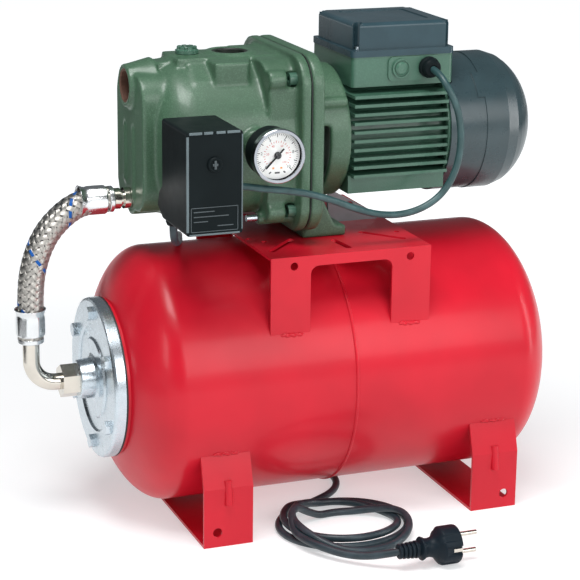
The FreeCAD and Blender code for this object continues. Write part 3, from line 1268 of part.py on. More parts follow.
def make_switch():
    shell = [
        ("switch_left", "switch_low"),
        ("switch_right", "switch_low"),
        ("switch_right", "switch_high"),
        ("switch_left", "switch_high"),
    ]
    inset = "switch_wall"
    hollow = [
        (f"switch_left + {inset}", f"switch_low + {inset}"),
        (f"switch_right - {inset}", f"switch_low + {inset}"),
        (f"switch_right - {inset}", f"switch_high - {inset}"),
        (f"switch_left + {inset}", f"switch_high - {inset}"),
    ]
    depth = "switch_back - switch_front"
    cover = padded("cover_shell", "XZ", shell, depth, (0, "switch_back", 0), "3")
    room = padded("cover_room", "XZ", hollow, f"{depth} - {inset}", (0, "switch_back + 0.01", 0), "2")
    lead_hole = ("switch_right - 6", "entry_y", "entry_high")
    mains_hole = ("mains_x", "mains_y", "switch_low + 6")
    tools = [
        room,
        cylinder("cover_screw_hole", "2.6", "10", ("switch_x", "switch_front - 2", "screw_high"), "+y"),
        cylinder("lead_entry", f"gland_radius * {THREAD}", "12", lead_hole, "+x"),
        cylinder("mains_entry", f"mains_nut * {THREAD}", "12", mains_hole, "-z"),
    ]
    keep(cut("switch_cover", cover, *tools))
    keep(
        fuse(
            "cover_screw",
            cylinder("cover_screw_head", "7.5", "3", ("switch_x", "switch_front", "screw_high"), "-y"),
            cylinder("cover_screw_shank", "2.5", "30", ("switch_x", "switch_front", "screw_high"), "+y"),
        )
    )
    plate = block(
        "switch_plate",
        ("switch_left + 3", "switch_back", "switch_low + 3"),
        ("switch_right - 3", "switch_back + 3", "switch_high - 3"),
    )
    heel_corners = [
        ("switch_back + 3", "switch_low + 1.5"),
        ("switch_back + 18", "switch_low + 10.5"),
        ("switch_back + 18", "switch_low + 13"),
        ("switch_back + 13", "switch_low + 25"),
        ("switch_back + 3", "switch_low + 33"),
    ]
    heel_wide = "switch_right - switch_left - 2"
    heel = padded("switch_heel", "YZ", heel_corners, heel_wide, ("switch_left + 1", 0, 0))
    port = cylinder("switch_cup", "19", "8", ("switch_x", "switch_back - 8", "switch_port"), "+y")
    guide_start = ("switch_x", "switch_back - 15", "switch_port")
    guide = cylinder("switch_guide", "plunger_radius + run_gap", "30", guide_start, "+y")
    ears = []
    for index, side in enumerate((-1, 1)):
        x = f"switch_x + {side} * 15"
        ears.append(
            block(
                f"pivot_ear_{index}",
                (f"{x} - 1.5", "pivot_y - 4", "pivot_high - 4"),
                (f"{x} + 1.5", "switch_back", "pivot_high + 4"),
            )
        )
    pivot = cylinder("pivot_hole", "1.5 + run_gap", "40", ("switch_x - 20", "pivot_y", "pivot_high"), "+x")
    keep(cut("switch_base", fuse("switch_base_solid", plate, heel, port, *ears), guide, pivot))
    plunger_start = ("switch_x", "pivot_y + 2.3", "switch_port")
    keep(cylinder("switch_plunger", "plunger_radius", "plunger_long", plunger_start, "+y"))
    arm = block(
        "lever_arm",
        ("switch_x - 12", "pivot_y - 1", "pivot_high - 2"),
        ("switch_x + 12", "pivot_y + 2", "pivot_high + 56"),
    )
    pin = cylinder("lever_pin", "1.5", "31", ("switch_x - 15.5", "pivot_y", "pivot_high"), "+x")
    keep(fuse("switch_lever", arm, pin))
    springs = []
    for index, (height, radius) in enumerate((("switch_port - 12", "7"), ("switch_port + 14", "5"))):
        coil = cylinder(f"spring_outer_{index}", radius, "28", ("switch_x", "pivot_y - 4.2", height), "-y")
        start = ("switch_x", "pivot_y - 4", height)
        stud = cylinder(f"spring_inner_{index}", f"{radius} - 1.6", "30", start, "-y")
        springs.append(cut(f"switch_spring_{index}", coil, stud))
    keep(group("switch_springs", springs))
    contacts = block(
        "contact_base",
        ("switch_x - 24", "switch_back - 22", "contacts_low"),
        ("switch_x + 24", "switch_back", "contacts_low + 8"),
    )
    terminals = []
    for index in range(4):
        at = (f"switch_x - 18 + {12 * index}", "switch_back - 20", "contacts_low + 4")
        terminals.append(cylinder(f"contact_screw_{index}", "3", "8", at, "-y"))
    keep(fuse("switch_contacts", contacts, *terminals))

    switch_line = ("switch_x", 0, "switch_port")
    nipples = [
        turned("switch_nipple", nipple_profile("switch_back + 3", "16"), switch_line, "+y"),
        turned("gauge_nipple", nipple_profile("gauge_back", "42"), ("gauge_x", 0, "gauge_high"), "+y"),
    ]
    keep(group("port_nipples", nipples))


def nipple_profile(start, length):
    """A threaded brass nipple of that length from start."""
    return [
        (start, "2"),
        (start, "tapping_radius - 0.6"),
        (f"{start} + {length}", "tapping_radius - 0.05"),
        (f"{start} + {length}", "2"),
    ]


# ---- gauge -------------------------------------------------------------------------


def make_gauge():
    centre = ("gauge_x", "gauge_front", "gauge_high")
    case = [
        ("31.9", "0"),
        ("31.9", "gauge_case - 3"),
        ("29", "gauge_case"),
        ("6", "gauge_case"),
        ("6", "gauge_case - 1.6"),
        ("28", "gauge_case - 1.6"),
        ("28", "0"),
    ]
    keep(turned("gauge_case", case, centre, "+y"))
    bezel = [
        ("0", "gauge_radius - 3.4"),
        ("0", "gauge_radius - 0.8"),
        ("0.8", "gauge_radius"),
        ("8", "gauge_radius"),
        ("8", "gauge_case"),
        ("6", "gauge_case"),
        ("6", "gauge_case - 0.8"),
        ("1.5", "gauge_case - 0.8"),
        ("1.5", "gauge_radius - 3.4"),
    ]
    keep(turned("gauge_bezel", bezel, centre, "+y"))
    glass_at = ("gauge_x", "gauge_front + 1.6", "gauge_high")
    dial_at = ("gauge_x", "gauge_front + 6.4", "gauge_high")
    keep(cylinder("gauge_glass", "gauge_case - 1", "1.4", glass_at, "+y"))
    keep(cylinder("gauge_dial", "gauge_case - 1.7", "1", dial_at, "+y"))
    hub = cylinder("needle_hub", "3", "1.2", ("gauge_x", "gauge_front + 4.2", "gauge_high"), "+y")
    arm = doc.addObject("Part::Box", "needle_arm")
    bind(arm, Length="gauge_case + 1", Width="0.8", Height="1.4")
    # the arm points down to the left at rest, and its tail up to the right
    tail = Rotation(Vector(0, 1, 0), 135).multVec(Vector(-9, 0, -0.7))
    at = (f"gauge_x + {tail.x:.4f}", "gauge_front + 4.4", f"gauge_high + {tail.z:.4f}")
    place(arm, at, Rotation(Vector(0, 1, 0), 135))
    keep(fuse("gauge_needle", hub, arm))


# ---- cords and plug ------------------------------------------------------------------


def make_glands():
    glands = [
        gland("motor_gland", ("gland_x", "-box_half - 2", "gland_high"), "-y", "gland_radius", "lead_radius"),
        gland("switch_gland", ("switch_right", "entry_y", "entry_high"), "+x", "gland_radius", "lead_radius"),
        gland("mains_gland", ("mains_x", "mains_y", "switch_low"), "-z", "mains_nut", "cord_radius", "5.5"),
    ]
    keep(group("cable_glands", glands))


def make_cords():
    lead = [
        ("gland_x", "-62", "gland_high"),
        ("gland_x", "-82", "gland_high - 1.5"),
        ("103.5", "-97", "455"),
        ("113", "-101", "434"),
        ("118", "-101", "411"),
        ("117.8", "-101", "386"),
        ("111", "-101", "362"),
        ("97", "-101", "342.5"),
        ("76", "-101", "330.5"),
        ("52", "-101", "325.8"),
        ("27", "-101", "328"),
        ("2", "-102", "336"),
        ("-25", "-106", "348"),
        ("-53", "-113", "358.5"),
        ("-81", "-119", "365.5"),
        ("-108", "-122", "370"),
        ("-127", "entry_y", "entry_high"),
        ("switch_right + 7", "entry_y", "entry_high"),
    ]
    keep(tube("motor_lead", lead, "lead_radius"))

    upper = [
        ("mains_x", "mains_y", "switch_low - 3"),
        ("mains_x + 0.5", "mains_y + 1.5", "320.5"),
        ("-183.5", "-80", "310.5"),
        ("-172.5", "-53", "305"),
        ("-162", "-22", "299.5"),
        ("-152.5", "12", "293.5"),
        ("-140", "45", "285"),
        ("-131", "76", "271"),
        ("-125", "104", "249"),
        ("-121", "128", "218"),
        ("-116", "142", "182"),
        ("-107", "147", "143"),
        ("-95", "143", "105"),
        ("-78", "131", "70"),
        ("-56", "111", "38"),
        ("-29", "87", "14.5"),
        ("0", "58", "5.4"),
        ("24", "24", "4.6"),
        ("25", "-12", "4.6"),
        ("9", "-41", "4.6"),
        ("-17", "-59", "4.6"),
        ("coil_x - 25", "coil_y + 63", "4.6"),
    ]
    lower = [
        ("coil_x - coil_out + 3", "coil_y - 3", "4.6"),
        ("coil_x - coil_out + 5", "coil_y - 33", "4.6"),
        ("coil_x - coil_out + 19", "coil_y - 61", "4.8"),
        ("coil_x - coil_out + 41", "coil_y - 86", "7"),
        ("-30", "plug_y + 8.5", "12"),
        ("-14", "plug_y + 1.5", "17.5"),
        ("plug_x - 20", "plug_y", "plug_high"),
    ]
    first = tube("cord_to_coil", upper, "cord_radius")
    second = tube("cord_to_plug", lower, "cord_radius")
    coil = cylinder("coil_outer", "coil_out", "coil_high", ("coil_x", "coil_y", "0.2"))
    middle = cylinder("coil_middle", "coil_in", "30", ("coil_x", "coil_y", "-5"))
    bundle = cut("coil_bundle", coil, middle)
    keep(cut("mains_lead", group("cord_runs", [first, second]), bundle))
    coil_again = cylinder("coil_outer_kept", "coil_out", "coil_high", ("coil_x", "coil_y", "0.2"))
    middle_again = cylinder("coil_middle_kept", "coil_in", "30", ("coil_x", "coil_y", "-5"))
    keep(cut("mains_coil", coil_again, middle_again))


def make_plug():
    """A moulded two-pin plug with its ribbed strain relief, lying on the floor."""
    profile = [("-24", "cord_radius"), ("-24", "5.4")]
    for rib in range(5):
        start = -24 + 4.4 * rib
        thick = 4.7 + 0.35 * rib
        for along, out in ((0.01, 0.7), (2.6, 0.9), (2.7, 0), (4.3, 0.1)):
            profile.append((f"{start + along:.2f}", f"{thick + out:.2f}"))
    profile += [
        ("0", "8"),
        ("4", "11"),
        ("12", "plug_radius - 5.5"),
        ("18", "plug_radius - 1.5"),
        ("22", "plug_radius"),
        ("plug_long - 1.5", "plug_radius"),
        ("plug_long", "plug_radius - 1.5"),
        ("plug_long", "0"),
        ("-20", "0"),
        ("-20", "cord_radius"),
    ]
    body = turned("plug_moulding", profile, ("plug_x", "plug_y", "plug_high"))
    sockets, pins = [], []
    for index, side in enumerate((-1, 1)):
        at = ("plug_x + plug_long - 8", "plug_y", f"plug_high + {side} * pin_half")
        sockets.append(cylinder(f"pin_socket_{index}", "pin_radius", "20", at, "+x"))
        pins.append(cylinder(f"plug_pin_{index}", "pin_radius", "pin_long + 8", at, "+x"))
    keep(cut("plug_body", body, *sockets))
    keep(group("plug_pins", pins))


# ---- build and export ----------------------------------------------------------------

make_vessel()
make_membrane()
make_flange()
make_foot("left_foot", "foot_left", -1)
make_foot("right_foot", "foot_right", 1)
make_bracket()
make_stay()
make_hose()
make_pump_body()
make_casing_gasket()
make_hydraulics()
make_adapter()
make_screws()
make_motor_frame()
make_motor_inside()
make_motor_rear()
make_terminal_box()
make_switch()
make_gauge()
make_glands()
make_cords()
make_plug()

doc.recompute()
problems = []
for item in doc.Objects:
    if "Invalid" in item.State or "Error" in item.State:
        problems.append(f"{item.Name} has state {item.State}")
for item in nodes:
    if item.Shape.isNull() or not item.Shape.isValid():
        problems.append(f"{item.Label} has no valid shape")
if problems:
    raise RuntimeError("; ".join(problems))

os.makedirs("parts", exist_ok=True)
for item in nodes:
    item.Shape.exportStep(f"parts/{item.Label}.step")
print(len(nodes), "sub-parts written")
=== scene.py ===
import json
import math

import bmesh
import bpy
from mathutils import Matrix, Vector
from mathutils.geometry import intersect_point_line


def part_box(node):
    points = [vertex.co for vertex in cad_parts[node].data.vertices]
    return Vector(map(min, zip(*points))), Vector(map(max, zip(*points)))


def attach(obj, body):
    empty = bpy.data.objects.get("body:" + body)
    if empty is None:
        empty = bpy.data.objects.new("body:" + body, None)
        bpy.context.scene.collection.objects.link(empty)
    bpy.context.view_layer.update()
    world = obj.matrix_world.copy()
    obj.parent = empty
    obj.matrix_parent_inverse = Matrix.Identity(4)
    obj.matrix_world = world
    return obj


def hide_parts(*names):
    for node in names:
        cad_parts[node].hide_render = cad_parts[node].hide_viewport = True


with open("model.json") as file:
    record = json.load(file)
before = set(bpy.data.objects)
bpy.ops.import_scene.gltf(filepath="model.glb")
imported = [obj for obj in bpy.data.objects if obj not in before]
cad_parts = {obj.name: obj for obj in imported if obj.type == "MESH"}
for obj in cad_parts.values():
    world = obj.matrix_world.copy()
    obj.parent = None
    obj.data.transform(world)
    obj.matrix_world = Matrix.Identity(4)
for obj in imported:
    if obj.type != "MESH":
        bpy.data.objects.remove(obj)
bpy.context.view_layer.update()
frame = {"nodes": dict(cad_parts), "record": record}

# Lengths written without a unit are metres; routes and turned profiles are in mm.
VESSEL_MIDDLE_X = 0.0342
FAN_LOW, FAN_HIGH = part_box("fan_cover")
AXIS_Y = (FAN_LOW.y + FAN_HIGH.y) / 2
ROOT = "pump_set"
FRONT = Vector((0, -1, 0))
UP = Vector((0, 0, 1))


def at(x, y, z):
    """A point given in mm from the floor under the vessel's middle."""
    return Vector((x, y, z)) / 1000 + Vector((VESSEL_MIDDLE_X, AXIS_Y, 0))


def box_middle(low, high):
    return (low + high) / 2


# ---- materials ---------------------------------------------------------------


class Paint:
    """A Principled material and short ways to add detail to it."""

    def __init__(self, name, colour, roughness, metallic=0.0, coat=0.0, specular=0.5):
        self.material = bpy.data.materials.new(name)
        self.material.use_nodes = True
        self.tree = self.material.node_tree
        self.shader = self.tree.nodes["Principled BSDF"]
        self.colour = colour
        inputs = self.shader.inputs
        inputs["Base Color"].default_value = (*colour, 1)
        inputs["Roughness"].default_value = roughness
        inputs["Metallic"].default_value = metallic
        inputs["Coat Weight"].default_value = coat
        inputs["Coat Roughness"].default_value = 0.12
        inputs["Specular IOR Level"].default_value = specular
        self.height = None

    def node(self, kind, **settings):
        item = self.tree.nodes.new(kind)
        for key, value in settings.items():
            if key in item.inputs:
                item.inputs[key].default_value = value
            else:
                setattr(item, key, value)
        return item

    def link(self, source, target):
        self.tree.links.new(source, target)

    def noise(self, scale, detail):
        """Noise that stays put on the piece; scale is features per metre."""
        place = self.node("ShaderNodeTexCoord")
        texture = self.node("ShaderNodeTexNoise", Scale=scale, Detail=detail, Roughness=0.55)
        self.link(place.outputs["Object"], texture.inputs["Vector"])
        return texture.outputs["Fac"]

    def ramp(self, value, low, high):
        """Stretches value so that low becomes 0 and high becomes 1."""
        item = self.node("ShaderNodeMapRange")
        item.inputs["From Min"].default_value = low
        item.inputs["From Max"].default_value = high
        self.link(value, item.inputs["Value"])
        return item.outputs["Result"]

    def fade(self, value, start_end, low_high):
        """Runs smoothly from one strength to another as value passes from start to end."""
        item = self.node("ShaderNodeMapRange", interpolation_type="SMOOTHSTEP")
        for socket, amount in zip(("From Min", "From Max", "To Min", "To Max"), (*start_end, *low_high)):
            item.inputs[socket].default_value = amount
        self.link(value, item.inputs["Value"])
        return item.outputs["Result"]

    def tint(self, value, colour):
        """Mixes colour over the base where value is 1."""
        mix = self.node("ShaderNodeMix", data_type="RGBA")
        socket = self.shader.inputs["Base Color"]
        self.link(value, mix.inputs["Factor"])
        if socket.is_linked:
            self.link(socket.links[0].from_socket, mix.inputs["A"])
        else:
            mix.inputs["A"].default_value = (*self.colour, 1)
        mix.inputs["B"].default_value = (*colour, 1)
        self.link(mix.outputs["Result"], socket)

    def vary_roughness(self, value, low, high):
        """Lets the roughness wander between two values."""
        item = self.node("ShaderNodeMapRange")
        item.inputs["To Min"].default_value = low
        item.inputs["To Max"].default_value = high
        self.link(value, item.inputs["Value"])
        self.link(item.outputs["Result"], self.shader.inputs["Roughness"])

    def bump(self, value, distance, strength):
        """Adds relief of that depth in metres."""
        item = self.node("ShaderNodeBump", Distance=distance, Strength=strength)
        self.link(value, item.inputs["Height"])
        if self.height:
            self.link(self.height, item.inputs["Normal"])
        self.height = item.outputs["Normal"]
        self.link(self.height, self.shader.inputs["Normal"])


def gloss_paint(name, colour, deep):
    """Baked gloss paint on sheet steel, with faint orange peel."""
    paint = Paint(name, colour, 0.34, coat=0.1, specular=0.28)
    paint.tint(paint.ramp(paint.noise(9, 3), 0.35, 0.75), deep)
    paint.vary_roughness(paint.noise(30, 5), 0.27, 0.40)
    paint.bump(paint.noise(420, 2), 0.00008, 0.35)
    return paint.material


def cast_paint(name, colour, light, grain, roughness=0.42):
    """Paint over a sand casting; grain is the depth of the texture in metres."""
    paint = Paint(name, colour, roughness, coat=0.15)
    paint.tint(paint.ramp(paint.noise(700, 3), 0.45, 0.8), light)
    paint.tint(paint.ramp(paint.noise(14, 4), 0.45, 0.85), [c * 0.8 for c in colour])
    paint.vary_roughness(paint.noise(60, 5), roughness - 0.08, roughness + 0.12)
    paint.bump(paint.noise(120, 3), grain * 1.4, 0.5)
    paint.bump(paint.noise(900, 2), grain, 0.7)
    return paint.material


def moulded(name, colour, roughness, grain=0.00005, specular=0.5):
    """Moulded plastic with a fine spark-eroded texture."""
    paint = Paint(name, colour, roughness, specular=specular)
    paint.tint(paint.ramp(paint.noise(25, 4), 0.4, 0.8), [c * 1.35 for c in colour])
    paint.vary_roughness(paint.noise(80, 4), roughness - 0.07, roughness + 0.08)
    paint.bump(paint.noise(1600, 2), grain, 0.5)
    return paint.material


def plated(name, colour, roughness):
    """Plated or bare metal with faint clouds in its finish."""
    paint = Paint(name, colour, roughness, metallic=1.0)
    paint.tint(paint.ramp(paint.noise(60, 5), 0.4, 0.75), [c * 0.9 for c in colour])
    paint.vary_roughness(paint.noise(160, 5), roughness - 0.06, roughness + 0.06)
    paint.bump(paint.noise(700, 2), 0.00001, 0.4)
    return paint.material


def rubber(name, colour, roughness):
    """Rubber or soft PVC with a slightly dusty skin."""
    paint = Paint(name, colour, roughness)
    paint.tint(paint.ramp(paint.noise(70, 5), 0.45, 0.8), [c * 1.6 + 0.01 for c in colour])
    paint.vary_roughness(paint.noise(150, 4), roughness - 0.1, roughness + 0.1)
    paint.bump(paint.noise(1300, 2), 0.00004, 0.4)
    return paint.material


def clear(name):
    """A clear window, thin enough to bend light very little."""
    paint = Paint(name, (1, 1, 1), 0.03)
    paint.shader.inputs["Transmission Weight"].default_value = 1.0
    paint.shader.inputs["IOR"].default_value = 1.1
    paint.vary_roughness(paint.noise(40, 4), 0.01, 0.06)
    return paint.material


RED = gloss_paint("red_paint", (0.60, 0.008, 0.024), (0.47, 0.006, 0.018))
GREEN = cast_paint("green_cast_paint", (0.044, 0.102, 0.058), (0.095, 0.185, 0.115), 0.00016)
GREEN_SMOOTH = cast_paint("green_motor_paint", (0.046, 0.122, 0.082), (0.068, 0.155, 0.108), 0.00006, 0.32)
BLACK = moulded("black_moulding", (0.0055, 0.0088, 0.0098), 0.42, specular=0.07)
BLACK_GLOSS = moulded("black_gloss_moulding", (0.024, 0.050, 0.062), 0.22, 0.00001, specular=0.35)
BLACK_COVER = moulded("black_cover", (0.021, 0.040, 0.046), 0.28, 0.00001, specular=0.6)
# Pale grey for the bars on the switch cover's front edges: a painted highlight where the edges catch the
# light.
EDGE_HIGHLIGHT_PAINT = moulded("painted_edge_highlight", (0.085, 0.115, 0.125), 0.4)
WHITE = moulded("white_moulding", (0.75, 0.75, 0.72), 0.45)
ZINC = plated("zinc_plate", (0.60, 0.67, 0.72), 0.27)
STEEL = plated("machined_steel", (0.52, 0.53, 0.55), 0.3)
NICKEL = plated("nickel_plate", (0.68, 0.64, 0.57), 0.16)
BEZEL_STEEL = plated("bezel_steel", (0.36, 0.38, 0.41), 0.2)
DULL_STEEL = plated("dull_steel", (0.22, 0.23, 0.24), 0.42)
BRASS = plated("brass", (0.62, 0.43, 0.19), 0.3)
COPPER = plated("copper_wire", (0.55, 0.24, 0.11), 0.35)
TRACER = moulded("blue_tracer", (0.006, 0.085, 0.33), 0.4, specular=0.2)
RUBBER = rubber("black_rubber", (0.012, 0.013, 0.014), 0.6)
CORD = rubber("cord_sheath", (0.014, 0.029, 0.038), 0.42)
LEAD = rubber("lead_sheath", (0.020, 0.058, 0.060), 0.42)
PLUG = moulded("plug_moulding", (0.006, 0.012, 0.018), 0.45, specular=0.15)
RUST = rubber("rusted_bore", (0.105, 0.046, 0.029), 0.75)
DIAL = moulded("dial_face", (0.84, 0.84, 0.82), 0.5, 0.00001)
INK = moulded("black_ink", (0.02, 0.02, 0.022), 0.5, 0.00001)
RED_INK = moulded("red_ink", (0.55, 0.05, 0.04), 0.5, 0.00001)
AMBER = moulded("amber_ink", (0.75, 0.33, 0.10), 0.5, 0.00001)
LINE_GREY = moulded("printed_line", (0.045, 0.06, 0.066), 0.5)
FERRULE = plated("tinned_sleeve", (0.74, 0.76, 0.77), 0.24)
DARK_THREAD = moulded("dark_thread", (0.012, 0.018, 0.013), 0.5)
GLASS = clear("gauge_window")

SLOT_MATERIALS = {
    "red_paint": RED,
    "green_paint": GREEN,
    "green_alloy": GREEN_SMOOTH,
    "zinc": ZINC,
    "steel": STEEL,
    "nickel": NICKEL,
    "braid": RUBBER,
    "brass": BRASS,
    "black_rubber": RUBBER,
    "black_plastic": BLACK,
    "grey_cord": LEAD,
    "white_plastic": WHITE,
    "clear_glass": GLASS,
    "copper": COPPER,
    "dial": DIAL,
}
# Nodes whose own material differs from their slot's.
NODE_MATERIALS = {
    "terminal_lid": BLACK_GLOSS,
    "fan_cover": BLACK_COVER,
    "motor_stay": DULL_STEEL,
    "gauge_bezel": BEZEL_STEEL,
    "plug_body": PLUG,
}
CAST_NODES = ("pump_body", "motor_adapter")
# Turned and pressed nodes keep their edges sharp above this angle in degrees, and have no bevel.
ROUND_NODES = {
    "fan_cover": 60,
    "tank_shell": 32,
    "tank_flange": 32,
    "gauge_case": 32,
    "gauge_bezel": 32,
    "elbow_pipe": 32,
    "tank_membrane": 32,
}
# The other nodes' edges are broken by a bevel; these have wider ones than most.
BEVEL_WIDTH = 0.0004
BEVEL_WIDTHS = {
    "motor_housing": 0.0009,
    "pump_bracket": 0.0006,
    "left_foot": 0.0006,
    "right_foot": 0.0006,
    "switch_cover": 0.0012,
    "terminal_lid": 0.0009,
}


def dress_nodes():
    """Gives each CAD node its material, smooth shading and slightly broken edges."""
    for part in frame["record"]["subparts"]:
        name = part["node"]
        node = frame["nodes"][name]
        node.data.materials.clear()
        node.data.materials.append(NODE_MATERIALS.get(name, SLOT_MATERIALS[part["material_slot"]]))
        if name in CAST_NODES:
            node.data.shade_smooth()
            soften_casting(node)
        elif name in ROUND_NODES:
            node.data.shade_smooth()
            node.data.set_sharp_from_angle(angle=math.radians(ROUND_NODES[name]))
        else:
            segments = 3 if name in BEVEL_WIDTHS else 2
            break_edges(node, BEVEL_WIDTHS.get(name, BEVEL_WIDTH), segments=segments)


def break_edges(piece, width, sharp=35, segments=2):
    """Bevels a piece's sharp edges and shades it smooth between them."""
    piece.data.shade_smooth()
    bevel = piece.modifiers.new("broken_edges", "BEVEL")
    bevel.width = width
    bevel.segments = segments
    bevel.limit_method = "ANGLE"
    bevel.angle_limit = math.radians(sharp)
    normals = piece.modifiers.new("normals", "WEIGHTED_NORMAL")
    normals.keep_sharp = True


def soften_casting(node):
    """Rounds every edge and inner corner, as a sand casting has them."""
    remesh = node.modifiers.new("casting", "REMESH")
    remesh.mode = "VOXEL"
    remesh.voxel_size = 0.0018
    remesh.use_smooth_shade = True
    smooth = node.modifiers.new("fillets", "SMOOTH")
    smooth.factor = 0.5
    smooth.iterations = 9


# ---- cords -------------------------------------------------------------------

# Routes in mm from the vessel's middle, the same as the CAD tubes' routes.
LEAD_ROUTE = [
    (99, -62, 470),
    (99, -82, 468.5),
    (103.5, -97, 455),
    (113, -101, 434),
    (118, -101, 411),
    (117.8, -101, 386),
    (111, -101, 362),
    (97, -101, 342.5),
    (76, -101, 330.5),
    (52, -101, 325.8),
    (27, -101, 328),
    (2, -102, 336),
    (-25, -106, 348),
    (-53, -113, 358.5),
    (-81, -119, 365.5),
    (-108, -122, 370),
    (-127, -122, 374),
    (-137, -122, 374),
]
MAINS_TO_COIL = [
    (-192, -97, 336),
    (-191.5, -95.5, 320.5),
    (-183.5, -80, 310.5),
    (-172.5, -53, 305),
    (-162, -22, 299.5),
    (-152.5, 12, 293.5),
    (-140, 45, 285),
    (-131, 76, 271),
    (-125, 104, 249),
    (-121, 128, 218),
    (-116, 142, 182),
    (-107, 147, 143),
    (-95, 143, 105),
    (-78, 131, 70),
    (-56, 111, 38),
    (-29, 87, 14.5),
    (0, 58, 5.4),
    (24, 24, 4.6),
    (25, -12, 4.6),
    (9, -41, 4.6),
    (-17, -59, 4.6),
]
COIL_TO_PLUG = [
    (-81, -150, 12.6),
    (-77, -174, 12.4),
    (-66, -195, 11),
    (-50, -214, 9),
    (-32, -230, 11),
    (-15, -242, 16.5),
    (-4, -248.5, 20),
]
CORD_RADIUS = 4.0
LEAD_RADIUS = 3.65
# Each loose turn is an ellipse: its centre, then half its width and half its depth.
COIL_TURNS = ((-16.5, -128, 69, 61), (-18, -131, 58, 54), (-15, -150, 60, 53), (-16, -137, 63, 60))
# In degrees: the coil's points, where it starts and ends, and where one turn runs into the next.
TURN_STEP = 12
COIL_START = 118
COIL_END = 1258
MERGE_START = 100
MERGE_END = 220


def coil_plan(angle):
    """Where the coil runs at an angle in degrees, seen from above; turns run into each other at the left."""
    turn, past = divmod(angle - MERGE_START, 360)
    share = min(1, past / (MERGE_END - MERGE_START))
    share = share * share * (3 - 2 * share)
    before = COIL_TURNS[max(turn - 1, 0)]
    x, y, wide, deep = (a + (b - a) * share for a, b in zip(before, COIL_TURNS[turn]))
    heading = math.radians(angle)
    return Vector((x + wide * math.cos(heading), y + deep * math.sin(heading), 0))


def coil_turns():
    """The turns' points: each rests on the floor or on the turns that were laid before it."""
    plan = [coil_plan(angle) for angle in range(COIL_START, COIL_END, TURN_STEP)]
    reach = 3 * CORD_RADIUS
    floor_gap = 0.2
    half_turn = 180 // TURN_STEP
    heights = []
    for index, here in enumerate(plan):
        height = CORD_RADIUS + floor_gap
        for other in range(index - half_turn):
            nearest, along = intersect_point_line(here, plan[other], plan[other + 1])
            gap = (nearest - here).length
            if 0 <= along <= 1 and gap < reach:
                over = 2 * CORD_RADIUS * math.sqrt(1 - (gap / reach) ** 2)
                height = max(height, heights[other] + over)
        heights.append(height)
    points = []
    for index, here in enumerate(plan):
        near = heights[max(index - 1, 0) : index + 2]
        points.append((here.x, here.y, sum(near) / len(near)))
    return points


def route_curve(name, route, resolution):
    """Curve data holding one smooth open spline through a route in mm."""
    data = bpy.data.curves.new(name, "CURVE")
    data.dimensions = "3D"
    data.resolution_u = resolution
    spline = data.splines.new("NURBS")
    spline.points.add(len(route) - 1)
    for point, place in zip(spline.points, route):
        point.co = (*at(*place), 1)
    spline.order_u = 3
    spline.use_endpoint_u = True
    return data


def cord_curve(name, route, radius, material):
    """A round cord along a route in mm, riding on the set."""
    data = route_curve(name, route, 6)
    data.bevel_depth = radius / 1000
    data.bevel_resolution = 5
    data.use_fill_caps = True
    data.materials.append(material)
    curve = bpy.data.objects.new(name, data)
    bpy.context.scene.collection.objects.link(curve)
    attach(curve, ROOT)
    return curve


def make_cords():
    """The motor lead, and the mains cord with its coil and plug."""
    lead = cord_curve("motor_lead_cable", LEAD_ROUTE, LEAD_RADIUS, LEAD)
    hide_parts("motor_lead")
    route = MAINS_TO_COIL + coil_turns() + COIL_TO_PLUG
    mains = cord_curve("mains_cable", route, CORD_RADIUS, CORD)
    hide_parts("mains_lead", "mains_coil")
    plug = make_plug()


# ---- hose ----------------------------------------------------------------------

HOSE_ROUTE = [
    (-315, 0, 201),
    (-315, 0, 239),
    (-311.7, 0, 275),
    (-298, 0, 309.5),
    (-273.6, 0, 333),
    (-252, 0, 341),
    (-231, 0, 341),
]
# The braid: strands each way, the length of one turn, the middle radius, how far a strand rises and
# falls as it crosses others, its width and thickness, and how far its edges bend down.
BRAID_STRANDS = 8
BRAID_PITCH = 0.060
BRAID_RADIUS = 0.01335
BRAID_WEAVE = 0.00028
BRAID_WIDTH = 0.0054
BRAID_THICK = 0.0003
BRAID_BEND = 0.0004
BRAID_COLUMNS = 5
BRAID_STEP = 0.0016
TRACER_STRAND = 1


def line_points(route):
    """Points along the smooth line through a route, as Blender itself evaluates it."""
    data = route_curve("line", route, 24)
    helper = bpy.data.objects.new("line", data)
    mesh = bpy.data.meshes.new_from_object(helper)
    points = [vertex.co.copy() for vertex in mesh.vertices]
    bpy.data.objects.remove(helper)
    bpy.data.curves.remove(data)
    bpy.data.meshes.remove(mesh)
    return points


def evenly(points, step):
    """Points at equal steps along a line, each with its direction."""
    places, left = [], 0.0
    for a, b in zip(points, points[1:]):
        run = b - a
        while left < run.length:
            places.append((a + run.normalized() * left, run.normalized()))
            left += step
        left -= run.length
    return places


def strand_rows(build, stations, turn, strand):
    """Rows of vertices across one strand; turn is 1 or -1 for the way it is wound."""
    side = Vector((0, 1, 0))
    rows = []
    for index, (middle, ahead) in enumerate(stations):
        wound = 2 * math.pi * index * BRAID_STEP / BRAID_PITCH
        angle = turn * wound + 2 * math.pi * strand / BRAID_STRANDS
        weave = max(-1, min(1, 1.8 * math.cos(BRAID_STRANDS * wound)))
        radius = BRAID_RADIUS + turn * BRAID_WEAVE * weave
        up = side.cross(ahead)
        out = side * math.cos(angle) + up * math.sin(angle)
        round_way = up * math.cos(angle) - side * math.sin(angle)
        along = (ahead + round_way * turn * 2 * math.pi * radius / BRAID_PITCH).normalized()
        flat = out.cross(along).normalized() * (BRAID_WIDTH / 2)
        top = middle + out * radius
        row = []
        for column in range(BRAID_COLUMNS + 1):
            share = 2 * column / BRAID_COLUMNS - 1
            row.append(build.verts.new(top + flat * share - out * BRAID_BEND * share**2))
        rows.append(row)
    return rows


